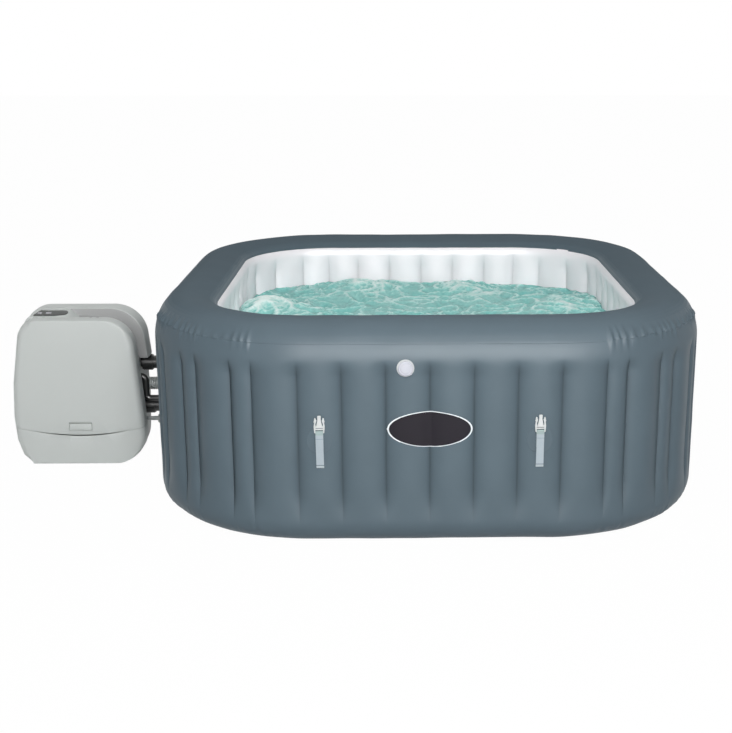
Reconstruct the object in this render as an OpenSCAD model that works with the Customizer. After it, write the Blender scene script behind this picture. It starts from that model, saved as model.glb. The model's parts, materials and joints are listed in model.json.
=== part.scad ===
// Square inflatable hot tub with an external pump and heater unit.
// Origin: centre of the tub on the ground. X to the right, Y to the back, Z up.

/* [Tub] */
// Width and length of the tub over its walls
tub_w = 1800; // [1780:10:1900]
// Height of the tub at the crown of its top edge
tub_h = 710; // [690:5:760]
// Plan radius of the outer corners
corner_r = 530; // [520:5:540]
// Thickness of the inflated wall
wall_t = 215; // [210:1:225]
// Thickness of the vinyl sheets
skin_t = 2; // [1.5:0.5:2.5]

/* [Wall seams] */
// Spacing of the upright seams along a straight wall
pitch = 132; // [128:1:134]
// How far a seam is pulled in behind the crest of the panels
seam_d = 9; // [6:0.5:10]
// Half width of the hollow that each seam makes
seam_w = 60; // [50:1:62]
// Thickness of the webs inside the wall
web_t = 1.2; // [1:0.2:2]

/* [Water jets] */
// Height of the jets and of the ring pipe that feeds them
jet_z = 255; // [245:1:260]
// Radius of a jet's flange
jet_r = 45; // [40:1:50]
// Radius of a jet's turning nozzle
nozzle_r = 22; // [20:1:24]

/* [Cover straps] */
// Height of the bar that a strap is looped round
bar_z = 372; // [360:1:380]
// Width of a buckle
buckle_w = 33; // [30:1:36]
// Width of the webbing
webbing_w = 25; // [20:1:26]

/* [Pump unit] */
// Distance of the front cover's face from the tub's centre line
pump_front = 125; // [120:1:130]
// Depth of the front cover
cover_d = 62; // [58:1:64]
// Depth of the rear housing
rear_d = 215; // [205:5:225]
// Thickness of the moulded walls
wall = 3.5; // [3:0.5:4]
// Height of the feet under the pump unit
foot_h = 3; // [2:0.5:3]

/* [Hidden] */

vinyl = [0.33, 0.39, 0.43];
liner = [0.9, 0.91, 0.92];
shell = [0.78, 0.8, 0.8];
black = [0.12, 0.13, 0.13];
metal = [0.7, 0.71, 0.72];

cc = tub_w / 2 - corner_r;
inner_r = corner_r - wall_t;
half = tub_w / 2;
top_r = 130;
bottom_r = 86;
lip_r = wall_t - top_r;
lip_end = 147;
seam_z = [158, 517];
ramp_h = 60;
ramp_a = atan(seam_d / ramp_h);
pair_gap = 3.8;
pair_pitch = 23;
first_a = asin((3 * pitch - cc) / corner_r);
straight_seams = [for (i = [-2:2]) i * pitch];
pairs = [for (i = [-1:1]) 45 + i * pair_pitch];
outer_seams = concat([first_a], [for (a = pairs, s = [-1, 1]) a + s * pair_gap], [90 - first_a]);
inner_seams = concat([first_a], pairs, [90 - first_a]);
// Each web of a corner as [angle of its inner seam, angle of its outer seam].
corner_webs = concat(
    [[first_a, first_a]],
    [for (a = pairs, s = [-1, 1]) [a, a + s * pair_gap]],
    [[90 - first_a, 90 - first_a]]
);
manifold_u = 400;
jet_x = 1.5 * pitch;
strap_x = 2.5 * pitch;
port_y = 0.5 * pitch;
upper_z = 337;
lower_z = 170;
air_z = 117;
return_y = 28;
return_z = 207;
// Right of recess_x and below recess_z the pump's housing is cut away, and the spouts stand on the face left.
recess_x = -1055;
recess_z = 370;
valve_x = -0.55 * pitch;
valve_z = 567;
drain_x = 1.5 * pitch;
drain_z = 140;

function arc(c, r, a0, a1, n) =
    [for (i = [0:n]) let (a = a0 + (a1 - a0) * i / n) [c[0] + r * cos(a), c[1] + r * sin(a)]];
function flip(p) = [for (i = [len(p) - 1:-1:0]) p[i]];

// ---- sweeps round the rounded square; a section's x is its distance from the corner's centre

module side(length = 2 * cc) {
    translate([-length / 2, -cc, 0]) rotate([90, 0, 90]) linear_extrude(length) mirror([1, 0]) children();
}
module corner() {
    translate([cc, -cc, 0]) rotate(-90) rotate_extrude(angle = 90, $fn = 96) children();
}
module quarter() {
    side() children();
    corner() children();
}
module all_round() {
    for (i = [0:3]) rotate(90 * i) quarter() children();
}
// Puts a child that stands on the middle of the front wall at one place of each wall.
module each_wall(x) {
    for (i = [0:3]) rotate(90 * i) translate([x, 0, 0]) children();
}

// ---- wall seams

seam_s = [62, 38, 19, 5];
function seam_drop(s) = seam_d * pow(max(0, 1 - abs(s) / seam_w), 1.7);
function seam_y(s, r, out) =
    out * (s > seam_w ? -0.3 : seam_drop(s > 5 ? s : 0)) - (r > 0 ? sqrt(r * r - s * s) - r : 0);
// out is 1 for the outer wall and -1 for the inner one; back moves the hollow into the wall.
module seam_profile(r, out, back) {
    flank = [for (s = seam_s) [s, seam_y(s, r, out) + out * back]];
    mirrored = flip([for (p = flank) [-p[0], p[1]]]);
    polygon(concat([[seam_s[0], -out * 9]], flank, mirrored, [[-seam_s[0], -out * 9]]));
}
module seam_hollow(r, out, back) {
    low = seam_z[0];
    high = seam_z[1];
    lean = out * ramp_a;
    run = ramp_h + 20;
    translate([0, 0, low - 1.5]) linear_extrude(high - low + 3) seam_profile(r, out, back);
    translate([0, 0, high]) rotate([lean, 0, 0]) linear_extrude(run) seam_profile(r, out, back);
    translate([0, 0, low]) rotate([-lean, 0, 0]) translate([0, 0, -run]) linear_extrude(run)
        seam_profile(r, out, back);
}
module quarter_seams(angles, r, out, back) {
    for (x = straight_seams) translate([x, -cc - r, 0]) seam_hollow(0, out, back);
    for (a = angles) translate([cc, -cc, 0]) rotate(a) translate([0, -r, 0])
        seam_hollow(out < 0 || (a > first_a && a < 90 - first_a) ? r : 0, out, back);
}
// One quarter of a ribbed wall, a sheet with a fold at every seam.
module ribbed_quarter(angles, r, out, z0, z1) {
    keep = 15;
    difference() {
        quarter() translate([min(r, r - out * keep), z0]) square([keep, z1 - z0]);
        quarter_seams(angles, r, out, 0);
        difference() {
            quarter() translate([min(r - out * skin_t, r - out * 2 * keep), z0 - 5])
                square([2 * keep - skin_t, z1 - z0 + 10]);
            quarter_seams(angles, r, out, skin_t);
        }
    }
}
module hole(x, y, z, r, along, depth = 60) {
    translate([x, y, z]) rotate(along) cylinder(h = depth, r = r, center = true, $fn = 48);
}

// ---- skins of the air chamber

wall_top = tub_h - top_r;
lip_c = [corner_r - top_r, tub_h - lip_r];
rib_z = [bottom_r + 4, wall_top - 2];
// The wall leans in above the ribs up to the weld, where the top sheet starts at a crease.
lean_r = 2 * top_r;
weld_a = 14;
crown_r = 142.7;
crown_c = [corner_r - 128.7, tub_h - crown_r];

module outer_skin() color(vinyl) {
    difference() {
        union() {
            for (i = [0:3]) rotate(90 * i) ribbed_quarter(outer_seams, corner_r, 1, rib_z[0], rib_z[1]);
            all_round() polygon(concat(
                [[corner_r, rib_z[1]]],
                arc([corner_r - lean_r, wall_top], lean_r, 0, weld_a, 3),
                arc(crown_c, crown_r, 32, 90, 8),
                arc(lip_c, lip_r, 98, lip_end, 5),
                arc(lip_c, lip_r - skin_t, lip_end, 90, 5),
                arc(crown_c, crown_r - skin_t, 83, 33, 7),
                arc([corner_r - lean_r, wall_top], lean_r - skin_t, weld_a - 0.3, 0, 3),
                [[corner_r - skin_t, rib_z[1]]]
            ));
            all_round() polygon(concat(
                arc([corner_r - bottom_r, bottom_r], bottom_r, -90, 0, 7),
                [[corner_r, rib_z[0]], [corner_r - skin_t, rib_z[0]]],
                arc([corner_r - bottom_r, bottom_r], bottom_r - skin_t, 0, -90, 7)
            ));
        }
        hole(valve_x, -half, valve_z, 19.8, [90, 0, 0]);
        hole(drain_x, half, drain_z, 19.8, [90, 0, 0]);
        for (z = [upper_z, lower_z, jet_z]) hole(-half, port_y, z, 22.3, [0, 90, 0]);
        hole(-half, port_y, air_z, 10.3, [0, 90, 0]);
        hole(-half, return_y, return_z, 10.3, [0, 90, 0]);
    }
}

inner_rib_z = [90, 590];
module inner_skin() color(liner) {
    difference() {
        union() {
            for (i = [0:3]) rotate(90 * i)
                ribbed_quarter(inner_seams, inner_r, -1, inner_rib_z[0], inner_rib_z[1]);
            all_round() polygon(concat(
                [[inner_r + skin_t, inner_rib_z[1]], [inner_r, inner_rib_z[1]]],
                arc(lip_c, lip_r, 180, lip_end, 4),
                arc(lip_c, lip_r - skin_t, lip_end, 180, 4)
            ));
            all_round() translate([inner_r, skin_t]) square([skin_t, inner_rib_z[0] - skin_t]);
        }
        for (x = [-jet_x, jet_x]) each_wall(x) hole(0, -cc - inner_r, jet_z, 27.3, [90, 0, 0]);
        hole(drain_x, cc + inner_r, drain_z, 19.8, [90, 0, 0]);
        for (z = [upper_z, lower_z]) hole(-cc - inner_r, port_y, z, 22.3, [0, 90, 0]);
        hole(-cc - inner_r, port_y, air_z, 10.3, [0, 90, 0]);
        hole(-cc - inner_r, return_y, return_z, 10.3, [0, 90, 0]);
    }
}

module rounded_plate(r, z0, t) {
    translate([0, 0, z0]) linear_extrude(t) union() {
        square([2 * cc, 2 * (cc + r)], center = true);
        square([2 * (cc + r), 2 * cc], center = true);
        for (x = [-cc, cc], y = [-cc, cc]) translate([x, y]) circle(r = r, $fn = 96);
    }
}
module base_sheet() color(vinyl) rounded_plate(corner_r - bottom_r, 0, skin_t);
module floor_liner() color(liner) rounded_plate(inner_r - 0.3, skin_t, skin_t);

// ---- webs, cut with air holes, that tie an inner seam to an outer one

web_in = inner_r + seam_d + skin_t;
web_out = corner_r - seam_d - skin_t;
flange_t = 1;
function polar(u, a) = [u * sin(a), -u * cos(a)];
module web_plate(p, q) {
    run = norm(q - p);
    turn = atan2(q[1] - p[1], q[0] - p[0]);
    translate([p[0], p[1], 0]) rotate([90, 0, turn]) translate([0, 0, -web_t / 2])
        linear_extrude(web_t) difference() {
            polygon([[0, seam_z[0] + 4], [20, 70], [run - 20, 100], [run, seam_z[0] + 4],
                [run, seam_z[1] - 4], [run - 20, 590], [20, 620], [0, seam_z[1] - 4]]);
            translate([manifold_u - web_in, jet_z]) circle(r = 26, $fn = 32);
            for (z = [345, 440]) translate([run / 2, z]) circle(r = 28, $fn = 32);
        }
}
module flange(u, a, out) {
    rotate(a) translate([-4, -u - (out > 0 ? flange_t : 0), seam_z[0]])
        cube([8, flange_t, seam_z[1] - seam_z[0]]);
}
// a and b are the directions of the inner and the outer seam from the centre of the corner.
module web(a, b) {
    flange(web_in, a, 1);
    flange(web_out - (a == b ? 0 : 0.05), b, -1);
    web_plate(polar(web_in + flange_t / 2, a), polar(web_out - flange_t / 2, b));
}
module wall_webs() color(liner) {
    for (i = [0:3]) rotate(90 * i) {
        for (x = straight_seams) translate([x, -cc, 0]) web(0, 0);
        for (w = corner_webs) translate([cc, -cc, 0]) web(w[0], w[1]);
    }
}

// ---- air and water in the tub

module air_duct() color(liner) {
    duct_r = 26;
    all_round() translate([inner_r - duct_r - 6, 2 * skin_t]) difference() {
        circle(r = duct_r, $fn = 40);
        circle(r = duct_r - skin_t, $fn = 40);
        translate([-2 * duct_r, -2 * duct_r]) square([4 * duct_r, 2 * duct_r]);
    }
}
pipe_r = 16;
module jet_manifold() color(black) {
    difference() {
        union() {
            all_round() translate([manifold_u, jet_z]) circle(r = pipe_r, $fn = 40);
            for (x = [-jet_x, jet_x]) each_wall(x) translate([0, -cc - inner_r - 40, jet_z])
                rotate([90, 0, 0]) cylinder(h = manifold_u - inner_r - 40, r = 12, $fn = 40);
            translate([-half + 30, port_y, jet_z]) rotate([0, 90, 0])
                cylinder(h = corner_r - manifold_u - 30, r = 15, $fn = 40);
        }
        all_round() translate([manifold_u, jet_z]) circle(r = pipe_r - 3, $fn = 40);
        for (x = [-jet_x, jet_x]) each_wall(x) translate([0, -cc - inner_r - 39, jet_z])
            rotate([90, 0, 0]) cylinder(h = manifold_u - inner_r - 39, r = 9, $fn = 40);
        translate([-half + 29, port_y, jet_z]) rotate([0, 90, 0])
            cylinder(h = corner_r - manifold_u - 29, r = 12, $fn = 40);
    }
}
// A jet stands on the inner wall: y runs into the tub from the wall's face.
module at_jet(x) {
    translate([x, -cc - inner_r, jet_z]) children();
}
ball_r = nozzle_r + 4;
module jet_bodies() color(liner) {
    for (x = [-jet_x, jet_x]) each_wall(x) at_jet(0) difference() {
        union() {
            rotate([-90, 0, 0]) cylinder(h = 5, r = jet_r, $fn = 64);
            translate([0, -40, 0]) rotate([-90, 0, 0]) cylinder(h = 40, r = 27, $fn = 64);
            translate([0, 5, 0]) rotate([-90, 0, 0]) rotate_extrude($fn = 64)
                polygon([[nozzle_r + 2.5, 0], [jet_r - 4, 0], [ball_r + 5, 5], [nozzle_r + 2.5, 5]]);
        }
        sphere(r = ball_r + 0.3, $fn = 64);
        translate([0, -36, 0]) rotate([-90, 0, 0]) cylinder(h = 36, r = 22, $fn = 64);
        rotate([-90, 0, 0]) cylinder(h = 11, r = nozzle_r + 2.5, $fn = 64);
        translate([0, -41, 0]) rotate([-90, 0, 0]) cylinder(h = 6, r = 9, $fn = 64);
    }
}
bore_r = 10;
barrel_r = 14;
ball_back = 22;
module jet_nozzle() color(shell) rotate([-90, 0, 0]) rotate_extrude($fn = 64) polygon(concat(
    [[bore_r, -ball_back]],
    arc([0, 0], ball_r, -asin(ball_back / ball_r), acos(barrel_r / ball_r), 12),
    [[barrel_r, ball_r + 3], [bore_r, ball_r + 3]]
));
module nozzle_at(k) {
    rotate(90 * floor(k / 2)) at_jet(k % 2 == 0 ? -jet_x : jet_x) jet_nozzle();
}
module jet_nozzle_1() nozzle_at(0);
module jet_nozzle_2() nozzle_at(1);
module jet_nozzle_3() nozzle_at(2);
module jet_nozzle_4() nozzle_at(3);
module jet_nozzle_5() nozzle_at(4);
module jet_nozzle_6() nozzle_at(5);
module jet_nozzle_7() nozzle_at(6);
module jet_nozzle_8() nozzle_at(7);

// ---- water and air ports of the left wall; x runs from the pump to the tub

module tube_x(x0, x1, z, r_out, r_in) {
    translate([x0, port_y, z]) rotate([0, 90, 0]) difference() {
        cylinder(h = x1 - x0, r = r_out, $fn = 64);
        translate([0, 0, -1]) cylinder(h = x1 - x0 + 2, r = r_in, $fn = 64);
    }
}
inner_x = -cc - inner_r;
collar_x = -1041;
air_x = -999;
hose_x = [-1049, -985];
bend_r = 16;
// Centre line of the return pipe: out of the pump, straight down past the hose, then into the wall.
bend_x = recess_x + 3;
bend_z = 276;
module return_pipe(r) {
    drop_x = bend_x + bend_r;
    wall_x = bend_x + 2 * bend_r;
    low = return_z + bend_r;
    translate([0, return_y, 0]) rotate([90, 0, 0]) {
        translate([bend_x, bend_z]) rotate_extrude(angle = 90, $fn = 48)
            translate([bend_r, 0]) circle(r = r, $fn = 32);
        translate([wall_x, low]) rotate(180) rotate_extrude(angle = 90, $fn = 48)
            translate([bend_r, 0]) circle(r = r, $fn = 32);
    }
    translate([recess_x, return_y, bend_z + bend_r]) rotate([0, 90, 0]) cylinder(h = 3.01, r = r, $fn = 32);
    translate([drop_x, return_y, low - 0.01]) cylinder(h = bend_z - low + 0.02, r = r, $fn = 32);
    translate([wall_x - 0.01, return_y, return_z]) rotate([0, 90, 0])
        cylinder(h = -half - 3 - wall_x + 0.01, r = r, $fn = 32);
}
module water_ports() color(black) {
    for (z = [upper_z, lower_z]) {
        tube_x(collar_x, collar_x + 45, z, 24, 15);
        tube_x(collar_x + 45, -half - 3, z, 21, 15);
        tube_x(-half - 3, -half, z, 36, 15);
        tube_x(-half, inner_x, z, 22, 15);
    }
    tube_x(hose_x[1], -half - 3, jet_z, 20, 12);
    tube_x(-half - 3, -half, jet_z, 30, 12);
    tube_x(-half, -half + 29, jet_z, 22, 15.2);
    tube_x(air_x + 4, -half - 3, air_z, 13, 7);
    tube_x(-half - 3, -half, air_z, 17, 7);
    tube_x(-half, inner_x, air_z, 10, 7);
    difference() {
        return_pipe(12);
        return_pipe(8);
    }
    translate([-half - 3, return_y, return_z]) rotate([0, 90, 0]) difference() {
        cylinder(h = 3 + wall_t, r = 10, $fn = 32);
        translate([0, 0, -1]) cylinder(h = 5 + wall_t, r = 7, $fn = 32);
    }
}
module port_screens() color(liner) {
    for (z = [upper_z, lower_z]) translate([inner_x, port_y, z]) rotate([0, 90, 0]) difference() {
        cylinder(h = 26, r1 = 48, r2 = 40, $fn = 64);
        translate([0, 0, -1]) cylinder(h = 24, r1 = 45, r2 = 37, $fn = 64);
        for (i = [-3:3]) translate([-30, i * 10 - 2.5, 10]) cube([60, 5, 30]);
    }
    translate([inner_x, port_y, air_z]) rotate([0, 90, 0]) difference() {
        cylinder(h = 10, r = 16, $fn = 48);
        translate([0, 0, -1]) cylinder(h = 9, r = 12, $fn = 48);
    }
}

// ---- air valve and drain

module valve_body() color(liner) translate([valve_x, -half, valve_z]) rotate([-90, 0, 0]) {
    difference() {
        union() {
            translate([0, 0, -3]) cylinder(h = 3, r = 26, $fn = 64);
            cylinder(h = 34, r = 19.5, $fn = 64);
            translate([0, 0, -9]) cylinder(h = 7, r = 20, $fn = 64);
        }
        translate([0, 0, -10]) cylinder(h = 40, r = 16, $fn = 64);
        translate([0, 0, 29]) for (a = [0:90:270]) rotate(a + 45) translate([6, -4, 0]) cube([8, 8, 6]);
    }
    translate([0, 0, 2]) difference() {
        cylinder(h = 28, r = 4, $fn = 32);
        translate([0, 0, -1]) cylinder(h = 12, r = 2, $fn = 32);
    }
}
module screw_cap(r, t, ribs) {
    difference() {
        union() {
            cylinder(h = t, r = r, $fn = 64);
            for (i = [0:ribs - 1]) rotate(360 * i / ribs) translate([r - 1, -1.2, 0]) cube([2.2, 2.4, t]);
        }
        translate([0, 0, -1]) cylinder(h = t - 2, r = 20.3, $fn = 64);
    }
}
module valve_cap() color(liner)
    translate([valve_x, -half - 3.3, valve_z]) rotate([90, 0, 0]) screw_cap(22.5, 10, 24);
module drain_port() color(black) translate([drain_x, half, drain_z]) rotate([90, 0, 0]) {
    difference() {
        union() {
            translate([0, 0, -3]) cylinder(h = 3, r = 32, $fn = 64);
            translate([0, 0, -14]) cylinder(h = 12, r = 20, $fn = 64);
            cylinder(h = wall_t, r = 19.5, $fn = 64);
            translate([0, 0, wall_t]) cylinder(h = 3, r = 30, $fn = 64);
        }
        translate([0, 0, -15]) cylinder(h = wall_t + 30, r = 15, $fn = 64);
    }
}
module drain_cap() color(black)
    translate([drain_x, half + 3.3, drain_z]) rotate([-90, 0, 0]) screw_cap(25, 15, 18);

// ---- straps for the cover: a patch on the wall, looped webbing and a buckle that swings on it

strap_y = -half - 7;
bar_r = 1.6;
module each_strap() {
    for (s = [-1, 1]) each_wall(s * strap_x) children();
}
module strap_patches() color(vinyl) each_strap()
    translate([0, -half, bar_z - 30]) rotate([90, 0, 0]) cylinder(h = 1.5, r = 42, $fn = 64);
web_ply = 1.2;
loop_r = bar_r + 1.6;
tail = 112;
hem = 13;
// Seen from the side: up from the patch, over the buckle's bar and down in front to a folded hem.
module strap_webbing() color([0.45, 0.48, 0.5]) each_strap() {
    y0 = -half - 1.5;
    front = strap_y - loop_r;
    translate([-webbing_w / 2, 0, 0]) rotate([90, 0, 90]) linear_extrude(webbing_w) polygon(concat(
        [[y0, bar_z - 52], [y0, bar_z - 18]],
        arc([strap_y, bar_z], loop_r, 0, 180, 12),
        [[front, bar_z - tail + hem], [front - web_ply, bar_z - tail + hem], [front - web_ply, bar_z - tail],
            [front + web_ply, bar_z - tail]],
        arc([strap_y, bar_z], loop_r - web_ply, 180, 0, 12),
        [[y0 - web_ply, bar_z - 18], [y0 - web_ply, bar_z - 52]]
    ));
}
module buckle() color([0.93, 0.93, 0.92]) translate([0, strap_y, bar_z]) rotate([90, 0, 0]) {
    w = buckle_w / 2;
    rotate([0, 90, 0]) cylinder(h = buckle_w - 2, r = bar_r, center = true, $fn = 32);
    translate([0, 0, -2.5]) linear_extrude(5) union() {
        for (s = [-1, 1]) translate([s * (w - 1.5) - 1.5, -3.5]) square([3, 17]);
        translate([-w, 12]) square([buckle_w, 5]);
        translate([-3, 16]) square([6, 30]);
        translate([-5, 42]) square([10, 4]);
        for (s = [0, 1]) mirror([s, 0]) polygon([[w - 6.5, 16], [w - 2.5, 16], [w - 4, 28], [w, 33],
            [w - 1.5, 38], [w - 7, 43], [w - 9, 41], [w - 6, 34], [w - 8, 28]]);
    }
}
module buckle_at(k) {
    rotate(90 * floor(k / 2)) translate([k % 2 == 0 ? -strap_x : strap_x, 0, 0]) buckle();
}
module buckle_1() buckle_at(0);
module buckle_2() buckle_at(1);
module buckle_3() buckle_at(2);
module buckle_4() buckle_at(3);
module buckle_5() buckle_at(4);
module buckle_6() buckle_at(5);
module buckle_7() buckle_at(6);
module buckle_8() buckle_at(7);

// ---- pump unit: outlines in x and z, as round corners [x, z, radius] that a skin is drawn over

pump_left = -1490;
pump_right = -1007;
bottom_left = [pump_left + 65, 15];
left_rounds = [
    [pump_left + 50, 50, 30], [pump_left + 45, 100, 40], [pump_left + 40, 180, 40], [pump_left + 67, 300, 60]
];
bottom_right = [pump_right - 120, 110];
front_rounds = concat(left_rounds, [
    [pump_left + 93, 464, 60], [pump_left + 78, 503, 35],
    [pump_right - 144, 428, 110], [pump_right - 108, 190, 100]
]);
rear_rounds = concat(left_rounds, [
    [pump_left + 110, 489, 70], [pump_right - 141, 434, 125], [pump_right - 90, 190, 100]
]);
// The outline drawn in by a margin, standing on the line z = floor.
module outline(rounds, margin, floor = foot_h) {
    for (c = rounds) translate([c[0], c[1]]) circle(r = max(c[2] - margin, 4), $fn = 24);
    for (b = [bottom_left, bottom_right]) {
        r = max(b[1] - margin, 6);
        translate([b[0], r + floor]) circle(r = r, $fn = 32);
    }
}
// A skin over outlines: each layer is [y, margin].
module moulding(rounds, layers, extra = 0, floor = foot_h) {
    hull() for (l = layers) translate([0, l[0] + 0.02, 0]) rotate([90, 0, 0]) linear_extrude(0.02)
        outline(rounds, l[1] + extra, floor);
}
// A straight slab of an outline from y0 to y1.
module slab(margin, y0, y1, rounds = front_rounds) {
    translate([0, y1, 0]) rotate([90, 0, 0]) linear_extrude(y1 - y0) hull() outline(rounds, margin);
}
cover_back = -pump_front + cover_d;
front_layers = [[-pump_front, 26], [-pump_front + 4, 12], [-pump_front + 12, 3], [-pump_front + 24, 0]];
rear_layers = [
    [0, 4], [5, 1.5], [14, 0], [40, 0], [80, 4], [120, 12], [160, 26], [195, 48], [rear_d, 75]
];
// Parting line under the front cover: a shallow smile, lowest in the middle.
smile_x = (pump_left + pump_right) / 2;
smile_r = 1000;
smile_z = 114;
module below_smile(margin = 0) {
    translate([smile_x, 0, smile_z + smile_r - margin]) rotate([90, 0, 0])
        difference() {
            translate([-600, -2 * smile_r, -300]) cube([1200, 2 * smile_r, 600]);
            translate([0, 0, -301]) cylinder(h = 602, r = smile_r, $fn = 360);
        }
}
gap = 2;
frame_y = cover_back + gap;
front_top = 538;
knuckle_r = 3.8;
hinge_y = cover_back - 4;
hinge_z = front_top - 4;
pin_r = 1.5;
knuckle_w = 14;
hinge_x = [pump_left + 110, pump_right - 180];

// The front module's skin; back is where it ends.
module front_shell(back) {
    layers = concat(front_layers, [[back, 0]]);
    difference() {
        moulding(front_rounds, layers);
        translate([0, wall, 0]) moulding(front_rounds, layers, wall, foot_h + wall);
    }
}
module hinge_barrel(x, r, length) {
    translate([x - length / 2, hinge_y, hinge_z]) rotate([0, 90, 0]) cylinder(h = length, r = r, $fn = 48);
}

// ---- latch: a push button in a cup of the cover, with two arms that reach under a ledge of the frame

button_z = 146;
button_w = 80;
button_h = 28;
button_t = 5;
button_travel = 3;
cup_wall = 3;
cup_back = -pump_front + 34;
arm_x = 25;
arm = [6, 5];
arm_end = frame_y - 1 - button_travel;
module button_cup(margin, y1) {
    w = button_w + 2 * margin;
    h = button_h + 2 * margin;
    translate([smile_x - w / 2, -pump_front, button_z - h / 2]) cube([w, y1 + pump_front, h]);
}
module button_arms(margin) {
    for (s = [-1, 1]) translate([smile_x + s * arm_x, 0, button_z])
        translate([-arm[0] / 2 - margin, -pump_front + button_t, -arm[1] / 2 - margin])
            cube([arm[0] + 2 * margin, arm_end + pump_front - button_t, arm[1] + 2 * margin]);
}
module front_cover() color(shell) {
    difference() {
        union() {
            difference() {
                front_shell(cover_back);
                below_smile();
            }
            intersection() {
                button_cup(0.6 + cup_wall, cup_back);
                moulding(front_rounds, concat(front_layers, [[cup_back + 40, 0]]));
            }
            for (x = hinge_x) hinge_barrel(x, knuckle_r, knuckle_w);
        }
        translate([0, -1, 0]) button_cup(0.6, cup_back - cup_wall + 1);
        button_arms(0.6);
        for (x = hinge_x) {
            hinge_barrel(x, pin_r + 0.05, 2 * knuckle_w + 20);
            for (s = [-1, 1]) translate([x + s * (knuckle_w + 1) - 5 - s * 2.5, hinge_y - 5.5, hinge_z - 7])
                cube([10, 20, 20]);
        }
    }
}
module lower_front() color(shell) intersection() {
    front_shell(frame_y - 0.05);
    below_smile(1);
}
module latch_button() color(shell) {
    translate([smile_x - button_w / 2, -pump_front + 0.8, button_z - button_h / 2])
        cube([button_w, button_t, button_h]);
    translate([smile_x, -pump_front + button_t, button_z]) rotate([-90, 0, 0])
        cylinder(h = 8, r = 2.8, $fn = 32);
    button_arms(0);
}
module latch_spring() color(metal) {
    y0 = -pump_front + 0.8 + button_t;
    translate([smile_x, y0, button_z]) rotate([-90, 0, 0]) difference() {
        cylinder(h = cup_back - cup_wall - y0, r = 4.4, $fn = 32);
        translate([0, 0, -1]) cylinder(h = 60, r = 3.2, $fn = 32);
    }
}
module hinge_pin() color(metal) for (x = hinge_x) hinge_barrel(x, pin_r, knuckle_w + 15);

// ---- frame behind the cover, with the recessed channel that runs round its back

// The channel is flush at the left and deep at the right.
channel_margin = 30;
channel_rounds = concat([for (c = left_rounds) [c[0], c[1], c[2] + 25]], [
    [pump_left + 93, 464, 85], [pump_left + 78, 503, 60],
    [pump_right - 155, 428, 125], [pump_right - 135, 190, 130]
]);
bay = [pump_left + 105, 200, 260, 250];
// Console: a sloping box on the channel's left half that carries the control panel.
console_x = [-1450, -1262];
console_z = [539, 555];
slope = atan((console_z[1] - console_z[0]) / -frame_y);
module console_box(margin) {
    intersection() {
        slab(4 + margin, frame_y + margin, 0, rear_rounds);
        translate([console_x[0], 0, 0]) rotate([90, 0, 90])
            linear_extrude(console_x[1] - console_x[0] - margin)
            polygon([[frame_y, 500 - margin], [frame_y, console_z[0] - margin],
                [0, console_z[1] - margin], [0, 500 - margin]]);
    }
}
module channel_frame() color(shell) {
    difference() {
        union() {
            slab(5, frame_y, frame_y + wall);
            difference() {
                slab(channel_margin, frame_y + 1, 0, channel_rounds);
                slab(channel_margin + wall, frame_y - 2, -wall, channel_rounds);
            }
            difference() {
                console_box(0);
                console_box(wall);
            }
            for (x = hinge_x, s = [-1, 1]) translate([x + s * (knuckle_w / 2 + 4), 0, 0]) {
                hinge_barrel(0, knuckle_r, 7);
                translate([-3.5, hinge_y, hinge_z - knuckle_r]) cube([7, 8, knuckle_r]);
            }
            translate([smile_x - 35, frame_y - 8, button_z + arm[1] / 2 + 1]) cube([70, 9, 3]);
        }
        for (x = hinge_x) hinge_barrel(x, pin_r, 2 * knuckle_w + 20);
        translate([bay[0], -100, bay[1]]) cube([bay[2], 110, bay[3]]);
    }
}
// A shelf of the rear housing, from y0 to its back wall, with its top at z.
module shelf(x, width, y0, z) {
    intersection() {
        translate([x, y0, z - 4]) cube([width, rear_d, 4]);
        moulding(rear_rounds, rear_layers, 1);
    }
}
module rear_housing() color(shell) {
    difference() {
        moulding(rear_rounds, rear_layers);
        translate([recess_x, -1, -1]) cube([100, rear_d + 2, recess_z + 1]);
        difference() {
            translate([0, -wall, 0])
                moulding(rear_rounds, [for (l = rear_layers) [max(l[0], 2 * wall), l[1]]], wall, foot_h - 2);
            translate([recess_x - wall, -2, -2]) cube([100, rear_d + 4, recess_z + wall + 2]);
        }
        for (z = [upper_z, lower_z]) rear_bore(z, 19);
        rear_bore(jet_z, 19);
        rear_bore(air_z, 8);
        translate([recess_x - 20, return_y, bend_z + bend_r]) rotate([0, 90, 0])
            cylinder(h = 40, r = 8, $fn = 32);
        translate([bay[0], -5, bay[1]]) cube([bay[2], 20, bay[3]]);
    }
    shelf(blower[0] - 15, 30, 90, blower[2]);
    shelf(heater[0] - 15, 30, heater[1] - 8, heater[2]);
    for (x = [95, 195]) shelf(pump_left + x, 10, 18, board_z);
}
module rear_bore(z, r) {
    translate([recess_x - 20, port_y, z]) rotate([0, 90, 0]) cylinder(h = 40, r = r, $fn = 64);
}
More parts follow.
